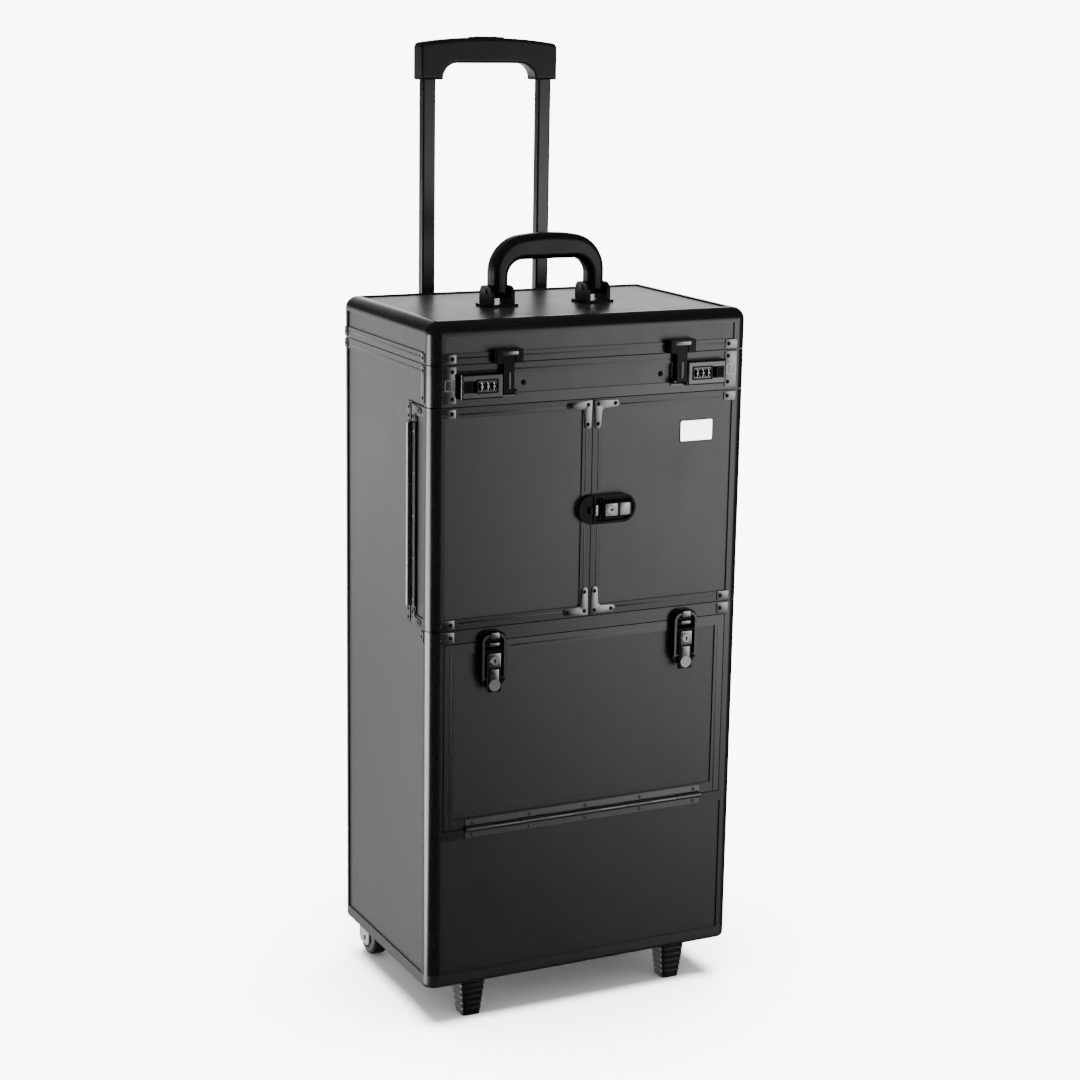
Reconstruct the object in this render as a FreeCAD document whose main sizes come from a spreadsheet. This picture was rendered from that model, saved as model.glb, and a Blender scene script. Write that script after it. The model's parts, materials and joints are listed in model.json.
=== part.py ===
import FreeCAD, Part
import os
import re

import Sketcher
from FreeCAD import Placement, Rotation, Vector

doc = FreeCAD.newDocument("trolley_case")
sheet = doc.addObject("Spreadsheet::Sheet", "dims")

# Driving dimensions, in millimetres. Heights of seams are taken from the underside of the case.
DIMENSIONS = (
    ("case_width", 372, "outside width of the case"),
    ("case_depth", 242, "outside depth of the case"),
    ("case_height", 720, "underside of the case to the lid's top"),
    ("leg_height", 46, "floor to the underside of the case"),
    ("lid_seam", 676, "seam between case and lid"),
    ("door_top", 633, "top of the doors' opening"),
    ("door_bottom", 397, "bottom of the doors' opening"),
    ("flap_top", 383, "top of the flap's opening"),
    ("flap_axis", 178, "hinge line of the flap"),
    ("door_depth", 46, "depth of the tray-shaped doors"),
    ("skin", 1.6, "thickness of an edge profile's flanges"),
    ("board", 5, "thickness of the panels"),
    ("edge_radius", 13, "outer rounding of the edge profiles"),
    ("base_radius", 5, "outer rounding along the underside"),
    ("flange", 15, "reach of a profile along sides, back, top and bottom"),
    ("front_flange", 17, "reach of a corner profile along the front openings"),
    ("crown_flange", 15, "reach of the lid's top profile down its skirts"),
    ("rail_flange", 11, "width of the flat profiles at seams"),
    ("cap", 4, "solid lip of a flat profile beyond its panel"),
    ("gap", 1, "running gap at seams"),
    ("door_wall", 3, "top, bottom and meeting walls of a door"),
    ("stile_width", 12, "width of the door opening's frame"),
    ("stile_depth", 12, "depth of the door opening's frame"),
    ("knuckle_radius", 3, "hinge knuckles"),
    ("hinge_out", 3.4, "hinge pin line in front of the face"),
    ("leaf_thickness", 1.2, "hinge leaves"),
    ("leaf_width", 10.5, "pin line to a leaf's free edge"),
    ("pin_radius", 1.5, "hinge pins"),
    ("pin_clearance", 0.05, "radial play of every pin and shaft"),
    ("knuckle_gap", 0.4, "play between neighbouring knuckles"),
    ("flap_hinge_length", 286, "flap hinge"),
    ("door_hinge_length", 195, "door hinges"),
    ("lid_hinge_length", 300, "lid hinge"),
    ("latch_margin", 71, "flap latches inside the case's sides"),
    ("latch_height", 11, "reach of the latch levers in front of the case"),
    ("latch_width", 31, "latch dish, across"),
    ("latch_length", 51, "latch dish, along"),
    ("latch_round", 15, "rounding of a latch dish's end"),
    ("dish_depth", 6, "height of a latch dish's rim"),
    ("dish_wall", 2.6, "rim of a latch dish"),
    ("dish_floor", 2, "floor of a latch dish"),
    ("lever_axis_drop", 11, "seam to the lever's pivot"),
    ("lever_axis_out", 5.5, "face to the lever's pivot"),
    ("lever_barrel", 3.2, "radius of the lever's pivot barrel"),
    ("lever_width", 16, "latch lever"),
    ("lever_back", 3.5, "face to the back of a lever"),
    ("lever_face", 10.2, "face to the front of a lever"),
    ("lever_end", 7, "lever's body short of the dish's end"),
    ("lever_tab", 3, "flap lever's thumb tab past the dish's end"),
    ("tab_play", 0.5, "thumb tab above the dish's rim"),
    ("lever_edge", 1.4, "rounding along a lever"),
    ("key_radius", 5, "key plug in a lever"),
    ("key_drop", 19.5, "seam to the key plug"),
    ("trunnion_radius", 2, "lever pivot pin"),
    ("lug_gap", 0.6, "lever to the dish's lugs"),
    ("lug_thickness", 2, "dish lugs"),
    ("lug_radius", 3.2, "dish lugs about the pivot"),
    ("bail_half", 13.8, "half the width of a bail"),
    ("bail_wire", 2.6, "thickness of a bail"),
    ("bail_back", 6.3, "face to the back of a bail"),
    ("bail_drop", 39, "seam to the bail's cross bar"),
    ("bail_bar", 1.2, "radius of the bail's cross bar"),
    ("bail_corner", 9, "rounding of a bail's end"),
    ("bail_reach", 8.6, "seam to the bail's far edge"),
    ("flap_keeper", 11, "length of a flap latch's keeper"),
    ("door_keeper", 16, "length of the door latch's keeper"),
    ("keeper_round", 10.5, "rounding of a flap latch's keeper"),
    ("keeper_depth", 5, "height of a keeper's plate"),
    ("nib_width", 7, "keeper's hook, across"),
    ("nib_length", 2.6, "keeper's hook, along"),
    ("nib_height", 4, "keeper's hook above its plate"),
    ("nib_play", 1.6, "bail to the keeper's hook"),
    ("door_latch_height", 514, "door latch above the underside"),
    ("lock_margin", 31, "lock body's outer end inside the case's side"),
    ("lock_length", 47, "lock body"),
    ("lock_low", 641, "lock body's lower edge"),
    ("lock_height", 26, "lock body"),
    ("lock_thickness", 8.6, "lock body"),
    ("lock_edge", 2, "rounding of the lock body"),
    ("strap_bay", 16, "lock's plate under the strap"),
    ("strap_plate", 1.6, "thickness of the plate under the strap"),
    ("strap_lug", 2.6, "lug at the plate's inner end"),
    ("strap_width", 12, "hasp strap"),
    ("strap_thickness", 2.8, "hasp strap"),
    ("strap_play", 0.6, "strap to its neighbours"),
    ("strap_barrel", 2.8, "radius of the strap's pivot barrel"),
    ("strap_axis_out", 5, "face to the strap's pivot"),
    ("strap_axis_up", 5, "lock's lower edge to the strap's pivot"),
    ("strap_overlap", 9.5, "strap's tip above the lid seam"),
    ("catch_width", 32, "lid catch"),
    ("catch_height", 14, "lid catch"),
    ("catch_depth", 9, "lid catch"),
    ("catch_floor", 4, "thickness of the catch behind the strap"),
    ("dial_radius", 5, "code dials"),
    ("dial_width", 5, "code dials"),
    ("dial_pitch", 6.8, "code dials"),
    ("dial_play", 0.4, "dial to its pocket"),
    ("dial_axis_out", 5.6, "face to the dials' shaft"),
    ("dial_shaft", 1.2, "radius of the dials' shaft"),
    ("dial_inset", 18, "lock's inner end to the middle dial"),
    ("slider_length", 9, "lock's slide button"),
    ("slider_height", 12, "lock's slide button"),
    ("slider_proud", 1.4, "slide button above the lock's face"),
    ("slider_depth", 3.6, "slide button inside the lock"),
    ("slider_travel", 4, "stroke of the slide button"),
    ("slider_inset", 3, "lock's outer end to the slide button's slot"),
    ("slider_play", 0.3, "slide button to its slot"),
    ("handle_span", 134, "carry handle, across"),
    ("handle_rise", 75, "lid's top to the handle's top"),
    ("handle_grip", 28, "thickness of the handle's bar"),
    ("handle_leg", 19, "width of the handle's legs"),
    ("handle_depth", 23, "carry handle, front to back"),
    ("handle_crown", 230, "radius of the handle's top curve"),
    ("handle_shoulder", 40, "outer corners of the handle"),
    ("handle_inside", 18, "inner corners of the handle"),
    ("handle_edge", 7.5, "rounding of the handle's edges"),
    ("handle_foot", 7, "pivot to the handle's lower ends"),
    ("handle_pivot", 13.5, "lid's top to the handle's pivot"),
    ("handle_offset", 4, "handle in front of the lid's middle"),
    ("ear_cheek", 4, "cheeks of the handle's ears"),
    ("ear_play", 0.5, "cheeks to the handle's leg"),
    ("ear_depth", 30, "ears, front to back"),
    ("ear_lip", 7, "ear's base beyond its cheeks"),
    ("ear_base", 1, "ear's base above the lid's rim"),
    ("ear_top", 6.5, "cheeks above the pivot"),
    ("ear_round", 9, "rounding of the cheeks"),
    ("handle_pin", 3, "radius of the handle's pins"),
    ("handle_pin_head", 1, "pin beyond the cheeks"),
    ("tube_spacing", 142, "trolley tubes, middle to middle"),
    ("tube_width", 17, "inner tube"),
    ("tube_depth", 11, "inner tube"),
    ("tube_round", 3, "inner tube's corners"),
    ("tube_wall", 1.4, "walls of the trolley tubes"),
    ("tube_clearance", 0.3, "inner tube to outer tube"),
    ("tube_standoff", 28, "back of the case to the inner tubes"),
    ("tube_overlap", 69, "inner tube inside the outer one when drawn out"),
    ("sleeve_bottom", 2, "outer tubes above the base profile"),
    ("bracket_height", 26, "tube brackets"),
    ("bracket_wall", 3.8, "tube brackets"),
    ("bracket_round", 5, "tube brackets' corners"),
    ("handle_travel", 338, "stroke of the trolley handle"),
    ("grip_top", 996, "underside of the case to the grip's top"),
    ("grip_leg", 46, "height of the grip's ends"),
    ("grip_bar", 28, "thickness of the grip's bar"),
    ("grip_width", 168, "trolley grip"),
    ("grip_depth", 22, "trolley grip"),
    ("grip_crown", 560, "radius of the grip's top curve"),
    ("grip_cheek", 7, "grip's leg beside its tube"),
    ("grip_shoulder", 6, "outer corners of the grip"),
    ("grip_inside", 17, "inner corners of the grip"),
    ("grip_edge", 4, "rounding of the grip's edges"),
    ("grip_socket", 24, "tube's seat in the grip"),
    ("button_length", 40, "release button"),
    ("button_width", 9, "release button"),
    ("button_body", 9, "release button inside the grip"),
    ("button_proud", 0.8, "release button above the grip"),
    ("button_travel", 3, "stroke of the release button"),
    ("button_play", 0.4, "release button to its pocket"),
    ("foot_margin", 61.5, "front feet inside the case's sides"),
    ("foot_inset", 29, "front feet behind the front"),
    ("foot_top", 30, "foot at the case"),
    ("foot_bottom", 21, "foot at the floor"),
    ("foot_round", 4, "foot's corners"),
    ("foot_plug", 3, "foot's plug inside its top outline"),
    ("wheel_margin", 30, "wheels inside the case's sides"),
    ("wheel_inset", 20, "wheel shaft in front of the back"),
    ("wheel_radius", 20.5, "wheels"),
    ("wheel_width", 20, "wheels"),
    ("wheel_shoulder", 5, "rounding of the tread"),
    ("hub_radius", 12, "hub's recess"),
    ("hub_recess", 3, "hub's recess"),
    ("axle_radius", 3, "wheel shafts"),
    ("axle_head", 1.5, "shaft beyond the fork"),
    ("fork_cheek", 2.4, "fork's cheeks"),
    ("fork_play", 0.8, "wheel to the fork's cheeks"),
    ("fork_plate", 3, "fork's plate under the case"),
    ("fork_length", 28, "fork, front to back"),
    ("fork_drop", 7, "cheeks below the wheel shaft"),
    ("fork_round", 8, "cheeks' lower corners"),
)

for row, (alias, size, note) in enumerate(DIMENSIONS, start=1):
    sheet.set(f"A{row}", alias)
    sheet.set(f"B{row}", str(size))
    sheet.setAlias(f"B{row}", alias)
    sheet.set(f"C{row}", note)
doc.recompute()

NAMES = {alias for alias, size, note in DIMENSIONS}

# Sizes and places worked out from the table. The case stands on z = 0 with x = 0 in its middle, and y = 0
# halfway between the latch levers in front and the trolley grip behind.
DERIVED = {
    "half_width": "case_width/2",
    "shell": "skin + board",
    "inner_radius": "edge_radius - shell",
    "tube_centre": "tube_standoff + tube_depth/2",
    "front": "-(case_depth + tube_centre + grip_depth/2 - latch_height)/2",
    "back": "front + case_depth",
    "mid": "front + case_depth/2",
    "base": "leg_height",
    "top": "leg_height + case_height",
    "seam": "leg_height + lid_seam",
    "case_rim_z": "seam - gap/2",
    "lid_rim_z": "seam + gap/2",
    "door_low": "leg_height + door_bottom",
    "door_high": "leg_height + door_top",
    "door_back": "front + door_depth",
    "stile_back": "door_back + gap + stile_depth",
    "flap_high": "leg_height + flap_top",
    "flap_pivot": "leg_height + flap_axis",
    "flap_half": "half_width - front_flange - gap",
    "flap_thickness": "shell + skin",
    "knuckle_reach": "knuckle_radius + knuckle_gap",
    "pin_bore": "pin_radius + pin_clearance",
    "dish_inner": "latch_width/2 - dish_wall",
    "lug_inner": "lever_width/2 + lug_gap",
    "lug_outer": "lug_inner + lug_thickness",
    "lever_tip": "latch_length - lever_end",
    "bail_centre": "bail_back + bail_wire/2",
    "latch_spread": "half_width - latch_margin",
    "lock_outer": "half_width - lock_margin",
    "lock_inner": "lock_outer - lock_length",
    "lock_floor": "leg_height + lock_low",
    "lock_mid": "lock_floor + lock_height/2",
    "strap_z": "lock_floor + strap_axis_up",
    "strap_x": "lock_inner - strap_play - strap_width/2",
    "slider_x": "lock_outer - slider_inset - slider_play",
    "handle_half": "handle_span/2",
    "handle_axis": "top + handle_pivot",
    "handle_y": "mid - handle_offset",
    "handle_inner": "handle_half - handle_leg",
    "handle_top": "top + handle_rise",
    "tube_x": "tube_spacing/2",
    "tube_y": "back + tube_centre",
    "sleeve_wide": "tube_width/2 + tube_clearance + tube_wall",
    "sleeve_deep": "tube_depth/2 + tube_clearance + tube_wall",
    "grip_crest": "leg_height + grip_top",
    "grip_foot": "grip_crest - grip_leg",
    "sleeve_top": "grip_foot - handle_travel - gap",
    "sleeve_floor": "leg_height + flange + sleeve_bottom",
    "grip_inner": "tube_x - tube_width/2 - grip_cheek",
    "button_floor": "grip_crest - button_body",
    "foot_spread": "half_width - foot_margin",
    "foot_y": "front + foot_inset",
    "wheel_spread": "half_width - wheel_margin",
    "wheel_y": "back - wheel_inset",
    "fork_inner": "wheel_width/2 + fork_play",
    "fork_outer": "fork_inner + fork_cheek",
}


def ex(text):
    """Turn a size written with the table's names into a spreadsheet expression."""

    def swap(match):
        word = match.group(0)
        if word in DERIVED:
            return "(" + ex(DERIVED[word]) + ")"
        if word in NAMES:
            return "dims." + word
        return word

    return re.sub(r"[a-z][a-z_]*", swap, text)


def number(text):
    """Read a size written with the table's names as a plain number."""
    return float(sheet.evalExpression(ex(text)))


def neg(text):
    """Write the mirrored value of a size."""
    return f"-({text})"


def span(half):
    """Write a range that lies evenly about zero."""
    return (neg(half), half)


# Part primitives and booleans


def box(name, x, y, z):
    """Make a box from three ranges, each a pair of sizes."""
    solid = doc.addObject("Part::Box", name)
    for side, axis, (low, high) in (("Length", "x", x), ("Width", "y", y), ("Height", "z", z)):
        solid.setExpression(side, ex(f"({high}) - ({low})"))
        solid.setExpression("Placement.Base." + axis, ex(low))
    return solid


TURNED = {
    "x": Rotation(Vector(0, 1, 0), 90),
    "y": Rotation(Vector(1, 0, 0), -90),
    "z": Rotation(),
}


def rod(name, radius, axis, reach, x="0", y="0", z="0"):
    """Make a cylinder along one axis over a range; the other two places fix its middle line."""
    solid = doc.addObject("Part::Cylinder", name)
    solid.Placement = Placement(Vector(), TURNED[axis])
    solid.setExpression("Radius", ex(radius))
    solid.setExpression("Height", ex(f"({reach[1]}) - ({reach[0]})"))
    places = {"x": x, "y": y, "z": z}
    places[axis] = reach[0]
    for letter, place in places.items():
        solid.setExpression("Placement.Base." + letter, ex(place))
    return solid


def fuse(name, solids):
    """Join solids into one piece."""
    joined = doc.addObject("Part::MultiFuse", name)
    joined.Shapes = solids
    joined.Refine = True
    return joined


def cut(name, solid, tools):
    """Take one tool, or several joined, out of a solid."""
    result = doc.addObject("Part::Cut", name)
    result.Base = solid
    result.Tool = tools[0] if len(tools) == 1 else fuse(name + "_tools", tools)
    result.Refine = True
    return result


def common(name, solid, zone):
    """Keep the part of a solid that lies in a zone."""
    result = doc.addObject("Part::Common", name)
    result.Base = solid
    result.Tool = zone
    result.Refine = True
    return result


def mirrored(name, solid):
    """Make the right-hand twin of a left-hand piece."""
    twin = doc.addObject("Part::Mirroring", name)
    twin.Source = solid
    twin.Normal = Vector(1, 0, 0)
    return twin


def group(name, solids):
    """Gather separate solids under one name."""
    gathered = doc.addObject("Part::Compound", name)
    gathered.Links = solids
    return gathered


def placed(name, solid, rotation, x, y, z):
    """Set a piece that was made about the origin in its place."""
    seated = group(name, [solid])
    seated.Placement = Placement(Vector(), rotation)
    for letter, place in (("x", x), ("y", y), ("z", z)):
        seated.setExpression("Placement.Base." + letter, ex(place))
    return seated


# Sketched bodies

PLANES = {"xy": "XY_Plane", "xz": "XZ_Plane", "yz": "YZ_Plane"}


def sketch_on(body, plane, offset):
    """Start a sketch on one of the body's own planes, moved along the plane's normal."""
    sketch = body.newObject("Sketcher::SketchObject", body.Name + "_sketch")
    support = next(part for part in body.Origin.OriginFeatures if part.Role == PLANES[plane])
    sketch.AttachmentSupport = (support, [""])
    sketch.MapMode = "FlatFace"
    sketch.setExpression("AttachmentOffset.Base.z", ex(offset))
    return sketch


def bind(sketch, kind, first, size):
    """Add a constraint whose value follows the table."""
    index = sketch.addConstraint(Sketcher.Constraint(kind, *first, number(size)))
    sketch.setExpression(f"Constraints[{index}]", ex(size))


def draw_outline(sketch, points, arcs):
    """Draw a closed outline; arcs gives a radius and a side, +1 right or -1 left, for edges that bulge."""
    places = [Vector(number(u), number(v), 0) for u, v in points]
    ends = []
    for index, start in enumerate(places):
        end = places[(index + 1) % len(places)]
        if index in arcs:
            size, side = arcs[index]
            radius = number(size)
            chord = end - start
            bulge = radius - (radius**2 - (chord.Length / 2) ** 2) ** 0.5
            crest = (start + end) / 2 + Vector(chord.y, -chord.x, 0).normalize() * bulge * side
            edge = sketch.addGeometry(Part.Arc(start, crest, end), False)
        else:
            edge = sketch.addGeometry(Part.LineSegment(start, end), False)
        near, far = (sketch.getPoint(edge, end_of).distanceToPoint(start) for end_of in (1, 2))
        ends.append((edge, 1, 2) if near < far else (edge, 2, 1))
    for index, (edge, first, last) in enumerate(ends):
        following, entry, leave = ends[(index + 1) % len(ends)]
        sketch.addConstraint(Sketcher.Constraint("Coincident", edge, last, following, entry))
    for (edge, first, last), (u, v) in zip(ends, points):
        bind(sketch, "DistanceX", (-1, 1, edge, first), u)
        bind(sketch, "DistanceY", (-1, 1, edge, first), v)
    for index, (size, side) in arcs.items():
        bind(sketch, "Radius", (ends[index][0],), size)


def draw_rounded_square(sketch, u, v, half, radius):
    """Draw a square with round corners about a middle point."""
    flat = f"({half} - {radius})"
    points = [
        (f"{u} - {flat}", f"{v} - {half}"),
        (f"{u} + {flat}", f"{v} - {half}"),
        (f"{u} + {half}", f"{v} - {flat}"),
        (f"{u} + {half}", f"{v} + {flat}"),
        (f"{u} + {flat}", f"{v} + {half}"),
        (f"{u} - {flat}", f"{v} + {half}"),
        (f"{u} - {half}", f"{v} + {flat}"),
        (f"{u} - {half}", f"{v} - {flat}"),
    ]
    draw_outline(sketch, points, {corner: (radius, 1) for corner in (1, 3, 5, 7)})


def prism(name, plane, points, reach, arcs=None):
    """Pad an outline over a range along the third axis and return the body."""
    body = doc.addObject("PartDesign::Body", name)
    start = neg(reach[1]) if plane == "xz" else reach[0]
    sketch = sketch_on(body, plane, start)
    draw_outline(sketch, points, arcs or {})
    pad = body.newObject("PartDesign::Pad", name + "_pad")
    pad.Profile = sketch
    pad.setExpression("Length", ex(f"({reach[1]}) - ({reach[0]})"))
    doc.recompute()
    return body


def rectangle(u, v):
    """Write the corners of a rectangle from two ranges."""
    return [(u[0], v[0]), (u[1], v[0]), (u[1], v[1]), (u[0], v[1])]


def round_edges(body, radius, wanted):
    """Round the edges of a body that a test picks out by their bounding box and the body's own."""
    tip = body.Tip
    frame = tip.Shape.BoundBox
    names = [f"Edge{i}" for i, edge in enumerate(tip.Shape.Edges, 1) if wanted(edge.BoundBox, frame)]
    fillet = body.newObject("PartDesign::Fillet", body.Name + "_round")
    fillet.Base = (tip, names)
    fillet.setExpression("Radius", ex(radius))
    doc.recompute()
    return body


FLAT = 1e-4


def upright(edge, frame):
    """Pick straight upright edges."""
    return edge.XLength < FLAT and edge.YLength < FLAT


def crossing(edge, frame):
    """Pick straight edges that run front to back."""
    return edge.XLength < FLAT and edge.ZLength < FLAT


def at_bottom(edge, frame):
    """Pick edges that lie in the lowest plane."""
    return edge.ZMax - frame.ZMin < FLAT


def at_top(edge, frame):
    """Pick edges that lie in the highest plane."""
    return frame.ZMax - edge.ZMin < FLAT


def at_front_or_back(edge, frame):
    """Pick edges that lie in the foremost or rearmost plane."""
    return edge.YMax - frame.YMin < FLAT or frame.YMax - edge.YMin < FLAT


def rounded_block(name, x, y, z, radius, wanted):
    """Make a block with some of its edges rounded."""
    return round_edges(prism(name, "xy", rectangle(x, y), z), radius, wanted)


def disc(name, radius, reach, y, z):
    """Pad a circle along X and return the body."""
    body = doc.addObject("PartDesign::Body", name)
    sketch = sketch_on(body, "yz", reach[0])
    round_line = Part.Circle(Vector(number(y), number(z), 0), Vector(0, 0, 1), number(radius))
    circle = sketch.addGeometry(round_line, False)
    bind(sketch, "DistanceX", (-1, 1, circle, 3), y)
    bind(sketch, "DistanceY", (-1, 1, circle, 3), z)
    bind(sketch, "Radius", (circle,), radius)
    pad = body.newObject("PartDesign::Pad", name + "_pad")
    pad.Profile = sketch
    pad.setExpression("Length", ex(f"({reach[1]}) - ({reach[0]})"))
    doc.recompute()
    return body


nodes = []


def node(label, piece):
    """Name a finished piece and keep it for writing."""
    piece.Label = label
    nodes.append(piece)
    return piece


def both_sides(label, left):
    """Keep a left-hand piece and its right-hand twin as one group."""
    return node(label, group(label + "_pair", [left, mirrored(label + "_twin", left)]))


# Case: rounded edge profiles with rebates that hold the panels

WIDE = span("half_width + skin")
DEEP = ("front - skin", "back + skin")
BOARD_X = span("half_width - edge_radius")
BOARD_Y = ("front + edge_radius", "back - edge_radius")
LEFT_BOARD = ("-half_width + skin", "-half_width + shell")
LEFT_SKIN = ("-half_width - skin", "-half_width + skin")
FRONT_BOARD = ("front + skin", "front + shell")
BACK_BOARD = ("back - shell", "back - skin")
FRONT_SKIN = ("front - skin", "front + skin")
BACK_SKIN = ("back - skin", "back + skin")
WINDOW_X = span("half_width - flange")
WINDOW_Y = ("front + flange", "back - flange")
FRONT_WINDOW_X = span("half_width - front_flange")
CAVITY_X = span("half_width - shell")
CAVITY_Y = ("front + shell", "back - shell")


def case_body():
    """Make the case's panels, its shelves and the frames that hold them."""
    outer = rounded_block("case_outer", span("half_width"), ("front", "back"), ("base", "case_rim_z"),
                          "edge_radius", upright)
    round_edges(outer, "base_radius", at_bottom)
    cavity = rounded_block("case_cavity", CAVITY_X, CAVITY_Y, ("base + shell", "case_rim_z + gap"),
                           "inner_radius", upright)
    wall_z = ("base + edge_radius", "case_rim_z - cap")
    window_z = ("base + flange", "case_rim_z - rail_flange")
    lower_window_z = ("base + flange", "flap_pivot - gap/2 - rail_flange")
    upper_window_z = ("door_high + rail_flange", "case_rim_z - rail_flange")
    flap_hole_z = ("flap_pivot - gap/2", "flap_high")
    left = box("left_board", LEFT_BOARD, BOARD_Y, wall_z)
    right = mirrored("right_board", left)
    back = box("back_board", BOARD_X, BACK_BOARD, wall_z)
    bottom = box("bottom_board", BOARD_X, BOARD_Y, ("base + skin", "base + shell"))
    lower = box("lower_board", BOARD_X, FRONT_BOARD, ("base + edge_radius", "flap_pivot - gap/2 - cap"))
    upper = box("upper_board", BOARD_X, FRONT_BOARD, ("door_high + cap", "case_rim_z - cap"))
    notch = box("door_notch", WIDE, ("front - skin", "stile_back"), ("door_low", "door_high"))
    side_window = box("side_window", LEFT_SKIN, WINDOW_Y, window_z)
    openings = [
        side_window,
        mirrored("side_window_twin", side_window),
        box("back_window", WINDOW_X, BACK_SKIN, window_z),
        box("bottom_window", WINDOW_X, WINDOW_Y, ("base - skin", "base + skin")),
        box("lower_window", WINDOW_X, FRONT_SKIN, lower_window_z),
        box("upper_window", FRONT_WINDOW_X, FRONT_SKIN, upper_window_z),
        box("flap_hole", FRONT_WINDOW_X, ("front - skin", "front + shell + skin"), flap_hole_z),
        notch,
    ]
    frame = cut("case_frame", outer, [cavity, left, right, back, bottom, lower, upper] + openings)

    front_half = ("front - skin", "mid")
    base_zone = box("base_zone", WIDE, DEEP, ("base - skin", "base + flange"))
    rear_zone = box("rear_zone", WIDE, ("mid", "back + skin"), window_z)
    lower_zone = box("lower_zone", WIDE, front_half, ("base + flange", "door_low"))
    upper_zone = box("upper_zone", WIDE, front_half, ("door_high", "case_rim_z - rail_flange"))
    rim_zone = box("rim_zone", WIDE, DEEP, ("case_rim_z - rail_flange", "seam"))
    front_pair = [common("lower_front", frame, lower_zone), common("upper_front", frame, upper_zone)]
    node("base_frame", common("base_ring", frame, base_zone))
    node("rear_corner_posts", common("rear_posts", frame, rear_zone))
    node("front_frames", group("front_frame_pair", front_pair))
    node("case_rim", common("rim_ring", frame, rim_zone))

    left_panel = cut("left_board_cut", left, [notch])
    node("left_side_panel", left_panel)
    node("right_side_panel", mirrored("right_board_cut", left_panel))
    node("back_panel", back)
    node("bottom_panel", bottom)
    node("front_panels", group("front_board_pair", [lower, upper]))
    shelf = common("shelf", cavity, box("shelf_zone", WIDE, DEEP, ("door_low - board", "door_low")))
    tray = common("tray", cavity, box("tray_zone", WIDE, DEEP, ("door_high", "door_high + board")))
    node("shelf_boards", group("shelf_pair", [shelf, tray]))

    door_z = ("door_low", "door_high")
    stile = box("stile_block", span("half_width"), ("door_back + gap", "stile_back"), door_z)
    opening = box("stile_opening", span("half_width - stile_width"), ("door_back", "stile_back + gap"),
                  ("door_low + stile_width", "door_high - stile_width"))
    node("door_frame", cut("stile_ring", stile, [opening]))


def lid():
    """Make the lid's panels and the frame that holds them."""

    def crown_edges(edge, frame):
        return upright(edge, frame) or at_top(edge, frame)

    outer = rounded_block("lid_outer", span("half_width"), ("front", "back"), ("lid_rim_z", "top"),
                          "edge_radius", crown_edges)
    cavity = rounded_block("lid_cavity", CAVITY_X, CAVITY_Y, ("lid_rim_z - gap", "top - shell"),
                           "inner_radius", crown_edges)
    skirt_z = ("lid_rim_z + cap", "top - edge_radius")
    window_z = ("lid_rim_z + rail_flange", "top - crown_flange")
    top = box("lid_board", BOARD_X, BOARD_Y, ("top - shell", "top - skin"))
    left = box("lid_left_board", LEFT_BOARD, BOARD_Y, skirt_z)
    skirts = [left, mirrored("lid_right_board", left), box("lid_front_board", BOARD_X, FRONT_BOARD, skirt_z),
              box("lid_back_board", BOARD_X, BACK_BOARD, skirt_z)]
    side_window = box("lid_side_window", LEFT_SKIN, WINDOW_Y, window_z)
    openings = [
        side_window,
        mirrored("lid_side_window_twin", side_window),
        box("lid_top_window", WINDOW_X, WINDOW_Y, ("top - skin", "top + skin")),
        box("lid_front_window", FRONT_WINDOW_X, FRONT_SKIN, window_z),
        box("lid_back_window", WINDOW_X, BACK_SKIN, window_z),
    ]
    node("lid_frame", cut("lid_edges", outer, [cavity, top] + skirts + openings))
    node("lid_top_panel", top)
    node("lid_skirt_panels", group("lid_skirt_set", skirts))


def doors():
    """Make the left door as a shallow tray, and the right door as its twin."""

    def outer_edge(edge, frame):
        return upright(edge, frame) and edge.XMax - frame.XMin < FLAT and edge.YMax - frame.YMin < FLAT

    low = "door_low + gap"
    high = "door_high - gap"
    outer = rounded_block("door_outer", ("-half_width", "-gap/2"), ("front", "door_back"), (low, high),
                          "edge_radius", outer_edge)
    cavity_z = (f"{low} + door_wall", f"{high} - door_wall")
    cavity = rounded_block("door_cavity", ("-half_width + shell", "-gap/2 - door_wall"),
                           ("front + shell", "door_back + gap"), cavity_z, "inner_radius", outer_edge)
    board_z = (f"{low} + cap", f"{high} - cap")
    window_z = (f"{low} + rail_flange", f"{high} - rail_flange")
    face = box("door_face_board", ("-half_width + edge_radius", "-gap/2 - cap"), FRONT_BOARD, board_z)
    side = box("door_side_board", LEFT_BOARD, ("front + edge_radius", "door_back - cap"), board_z)
    face_window_x = ("-half_width + front_flange", "-gap/2 - rail_flange")
    face_window = box("door_face_window", face_window_x, FRONT_SKIN, window_z)
    side_window = box("door_side_window", LEFT_SKIN, ("front + flange", "door_back - rail_flange"), window_z)
    frame = cut("door_edges", outer, [cavity, face, side, face_window, side_window])
    panels = group("door_boards", [face, side])
    node("left_door_frame", frame)
    node("right_door_frame", mirrored("door_edges_twin", frame))
    node("left_door_panels", panels)
    node("right_door_panels", mirrored("door_boards_twin", panels))


def flap():
    """Make the flap's panel and the channel frame round it."""
    half = "flap_half"
    low = "flap_pivot + gap/2"
    high = "flap_high - gap"
    block = box("flap_block", span(half), ("front", "front + flap_thickness"), (low, high))
    panel = box("flap_board", span(f"{half} - cap"), FRONT_BOARD, (f"{low} + cap", f"{high} - cap"))
    through = ("front - skin", "front + flap_thickness + skin")
    window = box("flap_window", span(f"{half} - rail_flange"), through,
                 (f"{low} + rail_flange", f"{high} - rail_flange"))
    node("flap_frame", cut("flap_edges", block, [panel, window]))
    node("flap_panel", panel)


# Piano hinges, made about their own pin line: the pin lies along X and the face they sit on is at +Y

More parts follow.
